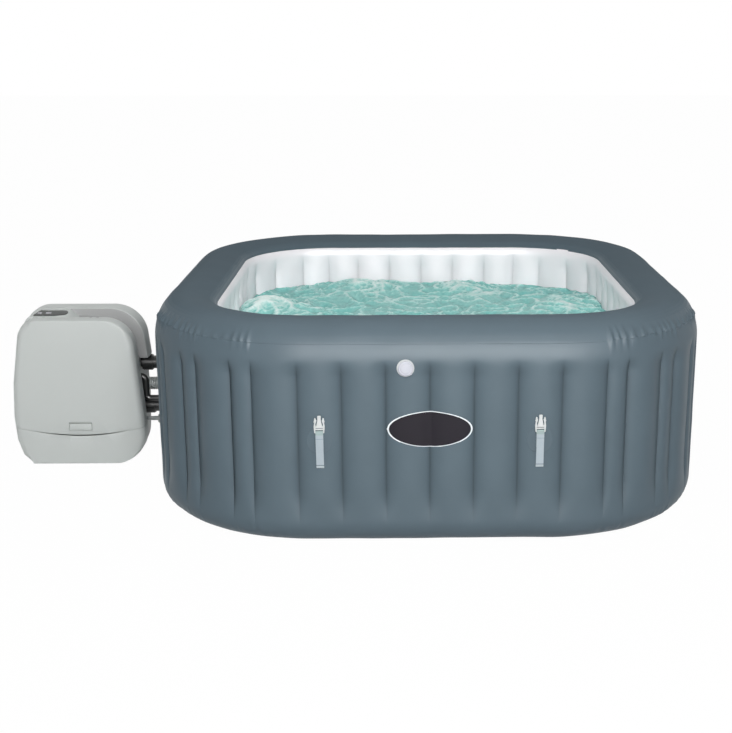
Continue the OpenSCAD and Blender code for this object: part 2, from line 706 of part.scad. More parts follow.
// The panel is a leaf: slanted at its left end and round at its right.
// Each round corner is [x, distance up the slope, radius].
panel_rounds = [[-1404, 11, 4], [-1387, 43, 4], [-1330, 22, 15], [-1305, 30, 17]];
module control_panel() color(black) translate([0, frame_y, console_z[0]]) rotate([slope, 0, 0])
    linear_extrude(2.5) hull() for (c = panel_rounds) translate([c[0], c[1]]) circle(r = c[2], $fn = 48);
board_z = 486;
module control_board() color([0.1, 0.35, 0.2]) {
    translate([pump_left + 90, 20, board_z]) cube([120, 70, 1.6]);
    for (x = [10, 45, 80]) translate([pump_left + 90 + x, 35, board_z + 1.6]) cube([22, 30, 10]);
}
module pump_base() color(shell) {
    difference() {
        translate([pump_left + 70, 8, foot_h]) cube([300, 185, 8]);
        translate([pump_left + 74, 12, foot_h + 4]) cube([292, 177, 8]);
    }
}
module pump_feet() color(black) {
    for (x = [pump_left + 90, pump_left + 350], y = [30, 170])
        translate([x, y, 0]) cylinder(h = foot_h, r = 15, $fn = 48);
}
// The filter's bay: a tray through the frame, open to the cover, with a rim on the frame's face.
module filter_box() color(liner) translate([bay[0] + 0.3, frame_y, bay[1] + 0.3]) {
    w = bay[2] - 0.6;
    h = bay[3] - 0.6;
    depth = 105;
    difference() {
        union() {
            cube([w, depth, h]);
            translate([-8, -3, -8]) cube([w + 16, 3, h + 16]);
        }
        translate([wall, -4, wall]) cube([w - 2 * wall, depth + 4 - wall, h - 2 * wall]);
    }
    inlet = [w - 17, 28 - frame_y, 0];
    drop = lower_z - bay[1] - 0.3;
    turn = [spout_x - 25 - bay[0] - 0.3, port_y - frame_y, drop];
    pipe([inlet, inlet + [0, 0, drop], turn, turn + [25, 0, 0]], 16);
}
module filter_cartridges() color([0.95, 0.95, 0.97]) {
    for (x = [pump_left + 170, pump_left + 300]) translate([x, 0, bay[1] + 0.3 + wall]) difference() {
        union() {
            cylinder(h = 8, r = 38, $fn = 64);
            cylinder(h = 200, r = 34, $fn = 64);
            translate([0, 0, 192]) cylinder(h = 8, r = 38, $fn = 64);
        }
        translate([0, 0, -1]) cylinder(h = 202, r = 14, $fn = 48);
    }
}
module motor(x, y, z, r, length) {
    translate([x, y, z]) rotate([0, 90, 0]) {
        cylinder(h = length, r = r, $fn = 64);
        translate([0, 0, length]) cylinder(h = 30, r = r + 10, $fn = 64);
        translate([0, 0, -14]) cylinder(h = 14, r = r - 6, $fn = 64);
    }
}
// A run of pipe through points, with an upright fitting at each turn.
module pipe(points, r) {
    for (i = [0:len(points) - 2]) {
        d = points[i + 1] - points[i];
        translate(points[i]) rotate([0, acos(d[2] / norm(d)), atan2(d[1], d[0])])
            cylinder(h = norm(d), r = r, $fn = 48);
        if (i > 0) translate(points[i]) cylinder(h = 2 * r + 3, r = r + 1.5, center = true, $fn = 48);
    }
}
blower = [pump_left + 160, 125, 256];
heater = [pump_left + 320, port_y + 50, 190];
heater_h = 120;
spout_x = recess_x - 20;
pump_y = [64, 150];
module circulation_pump() color(black) {
    x = pump_left + 110;
    y = pump_y[0];
    motor(x, y, 62, 34, 90);
    translate([x - 20, y - 25, foot_h + 4]) cube([120, 50, 24.5]);
    translate([x + 105, y - 30, 80]) cylinder(h = bay[1] + 0.3 - 80, r = 9, $fn = 48);
    pipe([[x + 115, y, 62], [heater[0], heater[1] - 22, 62], [heater[0], heater[1] - 22, heater[2]]], 9);
}
module jet_pump() color(black) {
    x = pump_left + 110;
    y = pump_y[1];
    turn_x = spout_x - 20;
    motor(x, y, 66, 38, 130);
    translate([x - 10, y - 30, foot_h + 4]) cube([140, 60, 24.5]);
    pipe([[x + 150, y, 66], [turn_x, y, 66], [turn_x, y, jet_z], [turn_x, port_y, jet_z],
        [spout_x, port_y, jet_z]], 14);
}
module air_blower() color(black) translate(blower) {
    cylinder(h = 40, r = 34, $fn = 64);
    translate([0, 0, 40]) cylinder(h = 110, r = 52, $fn = 64);
}
module heater_tube() color([0.75, 0.76, 0.77]) {
    translate(heater) cylinder(h = heater_h, r = 32, $fn = 64);
    top = heater + [0, 0, heater_h];
    pipe([top, [top[0], top[1], upper_z], [top[0], port_y, upper_z], [spout_x, port_y, upper_z]], 17);
}
module pump_spouts() color(black) {
    for (z = [upper_z, lower_z]) {
        tube_x(spout_x, collar_x - 4, z, 19, 15);
        tube_x(spout_x + 20 - wall - 4, spout_x + 20 - wall, z, 26, 15);
        tube_x(collar_x - 4, collar_x, z, 23, 15);
    }
    tube_x(spout_x, hose_x[0], jet_z, 19, 12);
    tube_x(spout_x + 20 - wall - 4, spout_x + 20 - wall, jet_z, 26, 12);
}
// Corrugated hose: a row of rings on a thin tube. The air pipe below it is plain.
module jet_hose() color([0.7, 0.72, 0.73]) {
    rings = 8;
    step = (hose_x[1] - hose_x[0]) / rings;
    translate([hose_x[0], port_y, jet_z]) rotate([0, 90, 0]) rotate_extrude($fn = 64) polygon(concat(
        [[14, 0]],
        [for (i = [0:rings - 1], p = [[20, 0.1], [24, 0.3], [24, 0.7], [20, 0.9]]) [p[0], (i + p[1]) * step]],
        [[14, rings * step]]
    ));
    tube_x(spout_x, air_x, air_z, 8, 5);
    tube_x(air_x, air_x + 4, air_z, 12, 5);
    tube_x(spout_x + 20 - wall - 3, spout_x + 20 - wall, air_z, 14, 5);
}
module grip_ring(x, z, r, length, bore, lip_bore, ribs) {
    translate([x, port_y, z]) rotate([0, 90, 0]) difference() {
        union() {
            cylinder(h = length, r = r, $fn = 64);
            for (i = [0:ribs - 1]) rotate(360 * i / ribs) translate([r - 1, -1.8, 3])
                cube([3, 3.6, length - 6]);
        }
        translate([0, 0, 3.7]) cylinder(h = length, r = bore, $fn = 64);
        translate([0, 0, -1]) cylinder(h = length, r = lip_bore, $fn = 64);
    }
}
module union_nut_upper() color(black) grip_ring(collar_x - 8, upper_z, 28, 38, 24.3, 19.3, 16);
module union_nut_lower() color(black) grip_ring(collar_x - 8, lower_z, 28, 38, 24.3, 19.3, 16);
module air_nut() color(shell) grip_ring(air_x - 4, air_z, 16, 20, 13.3, 8.3, 10);

outer_skin();
inner_skin();
floor_liner();
base_sheet();
wall_webs();
air_duct();
jet_manifold();
jet_bodies();
jet_nozzle_1();
jet_nozzle_2();
jet_nozzle_3();
jet_nozzle_4();
jet_nozzle_5();
jet_nozzle_6();
jet_nozzle_7();
jet_nozzle_8();
water_ports();
port_screens();
valve_body();
valve_cap();
drain_port();
drain_cap();
strap_patches();
strap_webbing();
buckle_1();
buckle_2();
buckle_3();
buckle_4();
buckle_5();
buckle_6();
buckle_7();
buckle_8();
rear_housing();
channel_frame();
lower_front();
front_cover();
hinge_pin();
latch_button();
latch_spring();
control_panel();
control_board();
pump_base();
pump_feet();
filter_box();
filter_cartridges();
circulation_pump();
jet_pump();
air_blower();
heater_tube();
pump_spouts();
jet_hose();
union_nut_upper();
union_nut_lower();
air_nut();
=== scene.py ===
import json
import math

import bpy
import numpy as np
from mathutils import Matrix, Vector, noise


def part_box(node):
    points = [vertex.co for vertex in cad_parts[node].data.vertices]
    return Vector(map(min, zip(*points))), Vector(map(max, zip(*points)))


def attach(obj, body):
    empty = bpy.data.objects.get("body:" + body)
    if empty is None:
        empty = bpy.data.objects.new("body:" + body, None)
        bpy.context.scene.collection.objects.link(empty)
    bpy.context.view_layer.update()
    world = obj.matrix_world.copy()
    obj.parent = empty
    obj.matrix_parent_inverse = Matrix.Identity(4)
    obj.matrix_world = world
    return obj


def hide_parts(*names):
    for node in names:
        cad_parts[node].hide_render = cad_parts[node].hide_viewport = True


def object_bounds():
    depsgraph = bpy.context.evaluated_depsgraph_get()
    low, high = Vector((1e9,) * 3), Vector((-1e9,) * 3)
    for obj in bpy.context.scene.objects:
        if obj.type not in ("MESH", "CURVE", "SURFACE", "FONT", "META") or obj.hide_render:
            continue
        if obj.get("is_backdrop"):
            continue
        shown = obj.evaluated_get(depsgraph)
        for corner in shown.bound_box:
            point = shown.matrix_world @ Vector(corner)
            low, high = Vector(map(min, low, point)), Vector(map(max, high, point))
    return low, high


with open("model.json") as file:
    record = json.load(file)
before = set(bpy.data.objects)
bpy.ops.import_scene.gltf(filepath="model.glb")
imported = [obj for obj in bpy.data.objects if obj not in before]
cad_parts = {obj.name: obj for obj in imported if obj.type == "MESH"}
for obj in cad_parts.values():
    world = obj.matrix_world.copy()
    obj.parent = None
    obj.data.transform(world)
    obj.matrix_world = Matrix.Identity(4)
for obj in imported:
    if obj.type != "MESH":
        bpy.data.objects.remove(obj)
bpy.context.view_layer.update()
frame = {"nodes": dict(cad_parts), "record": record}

bpy.context.scene.view_settings.view_transform = "Standard"

# ---- Studio: a wide white floor, a white surround, a soft key and two fills in front, two fills
# above and behind, and a low strip that only adds shine and draws the bright band along the tub's
# top edge. The camera stands at a standing person's height, a little left of the tub's middle.
bpy.ops.object.select_all(action="DESELECT")
bpy.ops.object.camera_add(
    location=(-0.086, -4.404, 1.506), rotation=(math.radians(75.07), 0, math.radians(-1.03)))
camera = bpy.context.object
camera.data.sensor_width = 36
camera.data.lens = 60.46
camera.data.shift_x = -0.0768
bpy.context.scene.camera = camera


def maths(tree, operation, *sides):
    """A step of arithmetic between sockets. Each side is a number or the outlet of another node."""
    step = tree.nodes.new("ShaderNodeMath")
    step.operation = operation
    for socket, side in zip(step.inputs, sides):
        if isinstance(side, (int, float)):
            socket.default_value = side
        else:
            tree.links.new(side, socket)
    return step.outputs[0]


def spread(tree, value, low, high, start=0.0, end=1.0):
    """Stretches a value that runs from start to end over the range from low to high."""
    step = tree.nodes.new("ShaderNodeMapRange")
    for socket, number in (("From Min", start), ("From Max", end), ("To Min", low), ("To Max", high)):
        step.inputs[socket].default_value = number
    tree.links.new(value, step.inputs["Value"])
    return step.outputs[0]


def studio_rays(tree):
    """One where a ray comes from the camera, a mirror or glass, and nought elsewhere."""
    rays = tree.nodes.new("ShaderNodeLightPath").outputs
    seen_or_mirrored = maths(tree, "MAXIMUM", rays["Is Camera Ray"], rays["Is Glossy Ray"])
    return maths(tree, "MAXIMUM", seen_or_mirrored, rays["Is Transmission Ray"])


surround = bpy.data.worlds.new("surround")
bpy.context.scene.world = surround
surround.use_nodes = True
nodes, links = surround.node_tree.nodes, surround.node_tree.links
strength = spread(surround.node_tree, studio_rays(surround.node_tree), 0.40, 1.0)
links.new(strength, nodes["Background"].inputs["Strength"])
nodes["Background"].inputs["Color"].default_value = (1, 1, 1, 1)

bpy.ops.mesh.primitive_plane_add(size=60, location=(0, 0, -0.0005))
floor = bpy.context.object
floor.name = "floor"
paper = bpy.data.materials.new("floor_paper")
paper.use_nodes = True
nodes, links = paper.node_tree.nodes, paper.node_tree.links
nodes["Principled BSDF"].inputs["Base Color"].default_value = (0.72, 0.72, 0.72, 1)
nodes["Principled BSDF"].inputs["Roughness"].default_value = 1.0
nodes["Principled BSDF"].inputs["Specular IOR Level"].default_value = 0.0
glow = nodes.new("ShaderNodeEmission")
glow.inputs["Strength"].default_value = 1.0
blend = nodes.new("ShaderNodeMixShader")
links.new(maths(paper.node_tree, "MULTIPLY", studio_rays(paper.node_tree), 0.985), blend.inputs["Fac"])
links.new(nodes["Principled BSDF"].outputs[0], blend.inputs[1])
links.new(glow.outputs[0], blend.inputs[2])
links.new(blend.outputs[0], nodes["Material Output"].inputs["Surface"])
floor.data.materials.append(paper)
floor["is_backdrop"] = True

for name, place, aim, size, watts in (
    ("key_front", (0, -3.4, 2.0), (0, 0, 0.35), (1.6, 1.2), 86),
    ("left_front", (-3.5, -3.0, 2.2), (0, 0, 0.4), (2.0, 2.0), 8),
    ("right_front", (3.5, -3.0, 2.2), (0, 0, 0.4), (2.0, 2.0), 20),
    ("top", (0, 0, 4.0), (0, 0, 0.4), (3.0, 3.0), 5),
    ("back_top", (0, 3.2, 3.2), (0, 0, 0.5), (4.5, 3.0), 14),
    ("edge_light", (0.5, -3.6, 1.45), (0.1, -0.9, 0.6), (3.0, 1.1), 540),
):
    bpy.ops.object.light_add(type="AREA", location=place)
    lamp = bpy.context.object
    lamp.name = name
    lamp.rotation_euler = (Vector(aim) - Vector(place)).to_track_quat("-Z", "Y").to_euler()
    lamp.data.shape = "RECTANGLE"
    lamp.data.size, lamp.data.size_y = size
    lamp.data.energy = watts
    lamp.visible_camera = False
bpy.data.objects["edge_light"].visible_diffuse = False

# ---- Wall sheet: the outer skin of the air chamber from the foot to the weld under the top
# edge, grey reinforced vinyl. Webs inside pull it in at upright seams, so that each panel
# stands out like a pillow, and the sheet puckers where it turns round a corner.
skin_low, skin_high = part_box("outer_skin")
half, crown_z = skin_high.x, skin_high.z
corner = 0.530
straight = half - corner
quarter = 2 * straight + corner * math.pi / 2
pitch = 0.132
seam_depth = 0.009
sheet_t = 0.0009
foot_r = 0.086
wall_top = crown_z - 0.145
wall_arc = 0.180
weld_angle, crown_angle = 25, 30
end_angle = math.degrees(math.asin((3 * pitch - straight) / corner))
pair_angles = (22, 45, 68)


def stand(arc, radius, height):
    """Points round the tub: arc runs along its rim, radius is measured from the corners' centres."""
    side = np.floor(arc / quarter)
    along = arc - side * quarter
    turn = np.clip((along - 2 * straight) / corner, 0, None)
    u = np.minimum(along, 2 * straight) - straight + radius * np.sin(turn)
    v = -straight - radius * np.cos(turn)
    c, s = np.cos(side * math.pi / 2), np.sin(side * math.pi / 2)
    return np.stack([c * u - s * v, s * u + c * v, height], -1)


def seams_at(angles):
    """Where the seams of all four sides lie along the rim, from the first to that one again."""
    flat = [straight + k * pitch for k in (-2, -1, 0, 1, 2)]
    bent = [2 * straight + corner * math.radians(a) for a in angles]
    places = [side * quarter + a for side in range(4) for a in flat + bent]
    return places + [4 * quarter + places[0]]


seam_crowd = (0, 0.035, 0.085, 0.17, 0.32, 0.53, 0.77, 1)


def pillow_columns(seams, shares=seam_crowd):
    """Column places for pillowed panels, crowded at the seams, with each one's place in its panel."""
    arcs, lean, width = [], [], []
    for a, b in zip(seams, seams[1:]):
        reach = (b - a) / 2
        for k in list(shares) + [2 - s for s in shares[-2:0:-1]]:
            arcs.append(a + k * reach)
            lean.append(abs(1 - k))
            width.append(reach)
    return np.array(arcs + [seams[-1]]), np.array(lean + [1.0]), np.array(width + [width[0]])


def fade(x, low, high):
    t = np.clip((x - low) / (high - low), 0, 1)
    return t * t * (3 - 2 * t)


def arc_rows(centre, radius, start, stop, count):
    """Rows of a section along an arc: radius, height and the direction the sheet faces."""
    rows = []
    for a in np.radians(np.linspace(start, stop, count)):
        c, s = math.cos(a), math.sin(a)
        rows.append((centre[0] + radius * c, centre[1] + radius * s, c, s))
    return rows


def points_of(piece):
    """The places of a piece's points, a row for each."""
    places = np.empty(3 * len(piece.data.vertices))
    piece.data.vertices.foreach_get("co", places)
    return places.reshape(-1, 3)


def move_points(piece, places):
    piece.data.vertices.foreach_set("co", places.ravel())


def mark(piece, name, values):
    """Keeps a number at each point of a piece for its material to read."""
    made = piece.data.attributes.new(name, "FLOAT", "POINT")
    made.data.foreach_set("value", values.astype(np.float32))


def sheet_grid(name, columns, rows):
    """A flat grid to lay out as a sheet, with its points and the row and column each stands in."""
    bpy.ops.object.select_all(action="DESELECT")
    bpy.ops.mesh.primitive_grid_add(x_subdivisions=columns - 1, y_subdivisions=rows - 1, size=2)
    sheet = bpy.context.object
    sheet.name = name
    flat = points_of(sheet)
    column = np.rint((flat[:, 0] + 1) / 2 * (columns - 1)).astype(int)
    row = np.rint((flat[:, 1] + 1) / 2 * (rows - 1)).astype(int)
    return sheet, flat, row, column


def mend(merge=0.0, outwards=True):
    """Merges the doubled points of the active mesh and turns its faces outwards."""
    bpy.ops.object.mode_set(mode="EDIT")
    bpy.ops.mesh.select_all(action="SELECT")
    if merge:
        bpy.ops.mesh.remove_doubles(threshold=merge)
    if outwards:
        bpy.ops.mesh.normals_make_consistent(inside=False)
    bpy.ops.object.mode_set(mode="OBJECT")


def wrap(name, arcs, rows, lift, **marks):
    """A closed band of sheet round the tub. lift[row, column] is how far each point stands out."""
    band, _, row, column = sheet_grid(name, len(arcs), len(rows))
    section = np.array(rows)[row]
    out = lift[row, column]
    radius, height = section[:, 0] + out * section[:, 2], section[:, 1] + out * section[:, 3]
    move_points(band, stand(arcs[column], radius, height))
    for title, values in marks.items():
        mark(band, title, values[row, column])
    mend(0.00002, outwards=False)
    bpy.ops.object.shade_smooth()
    return band


def finish_modifiers(piece):
    bpy.ops.object.select_all(action="DESELECT")
    piece.select_set(True)
    bpy.context.view_layer.objects.active = piece
    for modifier in list(piece.modifiers):
        bpy.ops.object.modifier_apply(modifier=modifier.name)


def thicken(piece, thickness):
    """Gives a sheet its thickness, behind the face that shows."""
    solid = piece.modifiers.new("thickness", "SOLIDIFY")
    solid.thickness = thickness
    solid.offset = -1
    finish_modifiers(piece)


def corner_wrinkles(arcs, rise, first, last, gap, height, reach, seed):
    """Short puckers across a corner's weld: rise is each row's distance from the weld."""
    total = np.zeros((len(rise), len(arcs)))
    for side in range(4):
        for k in range(int((last - first) / gap)):
            shake = seed + 7.3 * k + 2.1 * side
            angle = first + gap * k + 0.32 * gap * math.sin(shake)
            if side == 0:
                angle = 90 - angle
            place = side * quarter + 2 * straight + corner * math.radians(angle)
            tall = height * (0.45 + 0.55 * abs(math.sin(1.7 * shake)))
            wide = 0.0055 + 0.0025 * abs(math.cos(2.3 * shake))
            long = reach * (0.7 + 0.5 * abs(math.sin(0.9 * shake)))
            slant = arcs[None, :] - place - 0.12 * rise[:, None] * math.sin(3 * shake)
            total += tall * np.exp(-((slant / wide) ** 2)) * np.exp(-((rise[:, None] / long) ** 2))
    return total


def ripple(arcs, rows, size, height, seed=0.0):
    """Slow unevenness of a sheet under air pressure."""
    section = np.array(rows)
    total = np.empty((len(rows), len(arcs)))
    for i, row in enumerate(section):
        points = stand(arcs, np.full(len(arcs), row[0]), np.full(len(arcs), row[1]))
        total[i] = [height * noise.noise(Vector(p) / size + Vector((seed, 0, 0))) for p in points]
    return total


def seam_dip(width, lean):
    """How far the sheet lies back across a panel, from its crest to the seam at its edge."""
    crest = seam_depth * np.clip(1 - width / 0.06, 0, None) ** 1.7
    return crest + (seam_depth - crest) * lean ** 2.8


def pillow_marks(rows, lean, width, pull):
    """A sheet's marks: each point's place across its panel, and how much the seam gathers it."""
    gather = pull[:, None] * np.minimum(width / 0.066, 1)[None, :]
    return {"lean": np.tile(lean, (len(rows), 1)), "gather": gather}


outer_pairs = [a + s * 3.8 for a in pair_angles for s in (-1, 1)]
outer_seams = seams_at([end_angle, *outer_pairs, 90 - end_angle])
arcs, lean, width = pillow_columns(outer_seams)
heights = [0.098, 0.108, 0.118, 0.130, 0.142, 0.156, 0.18, 0.22, 0.27, 0.33, 0.39, 0.44, 0.48, 0.505,
           0.516, 0.525, 0.533, 0.541, 0.549, 0.557]
wall_rows = (
    arc_rows((corner - foot_r, foot_r), foot_r, -90, 0, 14)
    + [(corner, z, 1, 0) for z in heights]
    + arc_rows((corner - wall_arc, wall_top), wall_arc, 0, weld_angle, 14)
)
section = np.array(wall_rows)
steps = np.hypot(np.diff(section[:, 0]), np.diff(section[:, 1]))
from_foot = np.concatenate([[0], np.cumsum(steps)])
pull = fade(section[:, 1], 0.055, 0.190) * (1 - fade(section[:, 1], 0.535, 0.592))
wall_lift = -pull[:, None] * seam_dip(width, lean)[None, :]
weld_puckers = {"first": 14, "last": 78, "gap": 3.6, "height": 0.0080, "reach": 0.021, "seed": 0.4}
wall_lift += corner_wrinkles(arcs, from_foot - from_foot[-1], **weld_puckers)
wall_lift += corner_wrinkles(arcs, from_foot - 0.085, 6, 86, 3.1, 0.0032, 0.022, 2.2)
wall_lift += ripple(arcs, wall_rows, 0.11, 0.0016) * (1 - pull[:, None] * (lean ** 6)[None, :])
wall_lift[section[:, 1] < 0.003] = 0
wall_sheet = wrap("wall_sheet", arcs, wall_rows, wall_lift, **pillow_marks(wall_rows, lean, width, pull))
thicken(wall_sheet, sheet_t)


def finish(name, colour, roughness, specular=0.5, wander=0.07, patch=0.12, grain=0.0009, height=0.00002,
           gloss_wander=0.06, metallic=0.0):
    """A material with a slow wander of tone and gloss over it and a fine grain pressed into it."""
    made = bpy.data.materials.new(name)
    made.use_nodes = True
    nodes, links = made.node_tree.nodes, made.node_tree.links
    shader = nodes["Principled BSDF"]
    shader.inputs["Specular IOR Level"].default_value = specular
    shader.inputs["Metallic"].default_value = metallic
    place = nodes.new("ShaderNodeTexCoord").outputs["Object"]
    cloud = nodes.new("ShaderNodeTexNoise")
    cloud.inputs["Scale"].default_value = 1 / patch
    cloud.inputs["Detail"].default_value = 5
    links.new(place, cloud.inputs["Vector"])
    tone = nodes.new("ShaderNodeMix")
    tone.data_type = "RGBA"
    tone.inputs[6].default_value = (*[c * (1 - wander) for c in colour], 1)
    tone.inputs[7].default_value = (*[min(1, c * (1 + wander)) for c in colour], 1)
    links.new(cloud.outputs["Fac"], tone.inputs["Factor"])
    links.new(tone.outputs[2], shader.inputs["Base Color"])
    gloss = spread(made.node_tree, cloud.outputs["Fac"], roughness - gloss_wander, roughness + gloss_wander)
    links.new(gloss, shader.inputs["Roughness"])
    pores = nodes.new("ShaderNodeTexNoise")
    pores.inputs["Scale"].default_value = 1 / grain
    pores.inputs["Detail"].default_value = 3
    links.new(place, pores.inputs["Vector"])
    press = nodes.new("ShaderNodeBump")
    press.inputs["Distance"].default_value = height
    links.new(pores.outputs["Fac"], press.inputs["Height"])
    links.new(press.outputs[0], shader.inputs["Normal"])
    return made


def dress(piece, material, body="root"):
    """Gives a new piece its material and slot, and lets it ride on its body."""
    piece.data.materials.clear()
    piece.data.materials.append(material)
    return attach(piece, body)


vinyl_wander = 0.04
vinyl = finish("grey_vinyl", (0.089, 0.122, 0.145), 0.45, specular=0.08, grain=0.0012, height=0.00003,
               gloss_wander=vinyl_wander)


def lay_over(material, factor, colour, blend_type="MIX"):
    """Lays a colour over a material's own. Factor and colour are fixed or the outlets of nodes."""
    nodes, links = material.node_tree.nodes, material.node_tree.links
    layer = nodes.new("ShaderNodeMix")
    layer.data_type = "RGBA"
    layer.blend_type = blend_type
    for socket, value in ((layer.inputs["Factor"], factor), (layer.inputs[7], colour)):
        if isinstance(value, (int, tuple)):
            socket.default_value = value
        else:
            links.new(value, socket)
    links.new(nodes["Mix"].outputs[2], layer.inputs[6])
    links.new(layer.outputs[2], nodes["Principled BSDF"].inputs["Base Color"])


def read_mark(tree, name):
    reader = tree.nodes.new("ShaderNodeAttribute")
    reader.attribute_name = name
    return reader.outputs["Fac"]


def fold_with_painted_seam_shade(material, depth, shade):
    """Folds a sheet deeper towards its seams from its marks, and darkens it in a narrow line along them as
    painted shade in the seams' creases.
    """
    tree = material.node_tree
    lean_mark, gather_mark = read_mark(tree, "lean"), read_mark(tree, "gather")
    bowl = maths(tree, "MULTIPLY", maths(tree, "POWER", lean_mark, 2.0), gather_mark)
    fold = tree.nodes.new("ShaderNodeBump")
    fold.inputs["Distance"].default_value = depth
    fold.invert = True
    tree.links.new(bowl, fold.inputs["Height"])
    tree.links.new(fold.outputs[0], tree.nodes["Bump"].inputs["Normal"])
    # Painted shade: the colour is darkened in a narrow line along each seam, where the crease would lie in
    # shade.
    painted_seam_shade = maths(tree, "MULTIPLY", maths(tree, "POWER", lean_mark, 13.0), gather_mark)
    lay_over(material, painted_seam_shade, (shade, shade, shade, 1), "MULTIPLY")


# The wall sheet's seams get painted shade along their creases.
fold_with_painted_seam_shade(vinyl, 0.013, 0.62)
dress(wall_sheet, vinyl)
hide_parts("outer_skin")

# ---- Top sheet: the upper part of the outer skin, from a narrow flange over the wall sheet, over
# the crown and round to the colour change inside. The weld is a soft ridge that puckers in the
# corners, and the crown, where people sit and climb in, is rubbed matter than the rest.
rim_z = crown_z - 0.010
crown_up = math.sin(math.radians(crown_angle))
crown_arc = (rim_z - wall_top - wall_arc * crown_up) / (1 - crown_up)
crown_c = (corner - wall_arc + (wall_arc - crown_arc) * math.cos(math.radians(crown_angle)),
           wall_top + (wall_arc - crown_arc) * crown_up)
slope_r, slope_end, lip_end, inner_r = 0.200, 112, 149, 0.315
slope_c = (crown_c[0], rim_z - slope_r)
over, up = math.cos(math.radians(slope_end)), math.sin(math.radians(slope_end))
lip_r = (slope_c[0] + slope_r * over - inner_r) / (1 + over)
lip_c = (inner_r + lip_r, slope_c[1] + (slope_r - lip_r) * up)
flange = 0.006
arcs, _, _ = pillow_columns(outer_seams, shares=(0, 0.1, 0.2, 0.3, 0.4, 0.5, 0.6, 0.7, 0.8, 0.9, 1))
on_corner = (arcs % quarter) > 2 * straight
keep = on_corner | (np.arange(len(arcs)) % 3 == 0)
keep[-1] = True
arcs = arcs[keep]
flange_angle = math.degrees(flange / wall_arc)
top_rows = (
    arc_rows((corner - wall_arc, wall_top), wall_arc, weld_angle - flange_angle, weld_angle, 4)
    + arc_rows((corner - wall_arc, wall_top), wall_arc, weld_angle + 1, crown_angle, 5)
    + arc_rows(crown_c, crown_arc, crown_angle + 2, 90, 15)
    + arc_rows(slope_c, slope_r, 93, slope_end, 7)
    + arc_rows(lip_c, lip_r, slope_end + 3, lip_end, 11)
)
section = np.array(top_rows)
steps = np.hypot(np.diff(section[:, 0]), np.diff(section[:, 1]))
rise = np.concatenate([[0], np.cumsum(steps)]) - flange
top_lift = np.repeat((0.0004 * (1 - fade(rise, 0, 0.012)))[:, None], len(arcs), 1)
top_lift[0] -= 0.0003
top_lift += corner_wrinkles(arcs, rise, **weld_puckers)
top_lift += ripple(arcs, top_rows, 0.11, 0.0016)
top_sheet = wrap("top_sheet", arcs, top_rows, top_lift)
thicken(top_sheet, sheet_t)
dress(top_sheet, vinyl)
for shade, (steepness, roughness) in enumerate(((0.70, 0.60), (0.80, 0.75), (0.88, 0.90))):
    matt = vinyl.copy()
    matt.name = f"grey_vinyl_matt_{shade + 1}"
    matt.node_tree.nodes["Map Range"].inputs["To Min"].default_value = roughness - vinyl_wander
    matt.node_tree.nodes["Map Range"].inputs["To Max"].default_value = roughness + vinyl_wander
    top_sheet.data.materials.append(matt)
    for face in top_sheet.data.polygons:
        if face.normal.z > steepness:
            face.material_index = shade + 1
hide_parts("outer_skin")

# ---- Liner: the inner skin, pale vinyl, pulled back at the inner seams so that its panels
# stand out into the tub. It is welded under the top sheet's edge and to the floor liner.
inner_scale = inner_r / corner
inner_seams = seams_at([end_angle, *pair_angles, 90 - end_angle])
arcs, lean, width = pillow_columns(inner_seams)
heights = [0.624, 0.616, 0.608, 0.600, 0.590, 0.578, 0.564, 0.548, 0.53, 0.51, 0.49, 0.46, 0.42, 0.36, 0.29,
           0.22, 0.17, 0.14, 0.12, 0.10, 0.085, 0.07, 0.05, 0.03, 0.005]
liner_rows = arc_rows(lip_c, lip_r - 0.001, lip_end - 4, 180, 9)
liner_rows += [(inner_r + 0.001, z, -1, 0) for z in heights]
section = np.array(liner_rows)
pull = fade(section[:, 1], 0.085, 0.150) * (1 - fade(section[:, 1], 0.565, 0.640))
bent = ((arcs + 1e-6) % quarter) > 2 * straight
real_width = np.where(bent, width * inner_scale, width)
inner_dip = seam_dip(real_width, lean)
liner_lift = -pull[:, None] * inner_dip[None, :]
liner_lift += ripple(arcs, liner_rows, 0.09, 0.0016, seed=5.0)
marks = pillow_marks(liner_rows, lean, real_width, pull)
liner_sheet = wrap("liner_sheet", arcs, liner_rows, liner_lift, **marks)
thicken(liner_sheet, sheet_t)
liner = finish("pale_vinyl", (0.89, 0.84, 0.87), 0.42, specular=0.35, wander=0.02, grain=0.0012,
               height=0.00003)
# The liner's seams get painted shade along their creases too.
fold_with_painted_seam_shade(liner, 0.009, 0.75)
dress(liner_sheet, liner)
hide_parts("inner_skin")

# ---- Water: the filled tub with its jets running, so the surface heaps up over the jets and
# is broken into small waves with pale streaks of air. It is a closed body down to the floor.
water_z, floor_liner_z = 0.506, 0.034
jet_x = 1.5 * pitch
edge = stand(arcs, inner_r + inner_dip - 0.0004, np.zeros(len(arcs)))
edge_turn = np.arctan2(edge[:, 1], edge[:, 0])
order = np.argsort(edge_turn)
edge_turn, edge_reach = edge_turn[order], np.hypot(edge[:, 0], edge[:, 1])[order]
cells = 250
water, flat, _, _ = sheet_grid("water", cells + 1, cells + 1)
turn = np.arctan2(flat[:, 1], flat[:, 0])
square = np.maximum(np.abs(flat[:, 0]), np.abs(flat[:, 1]))
reach = square * np.interp(turn, edge_turn, edge_reach, period=2 * math.pi)
x, y = reach * np.cos(turn), reach * np.sin(turn)
jets = [stand(np.array([s * quarter + straight + k * jet_x]), np.array([inner_r - 0.11]), np.zeros(1))[0]
        for s in range(4) for k in (-1, 1)]
noise.seed_set(1)
tall, foam = np.empty(len(x)), np.empty(len(x))
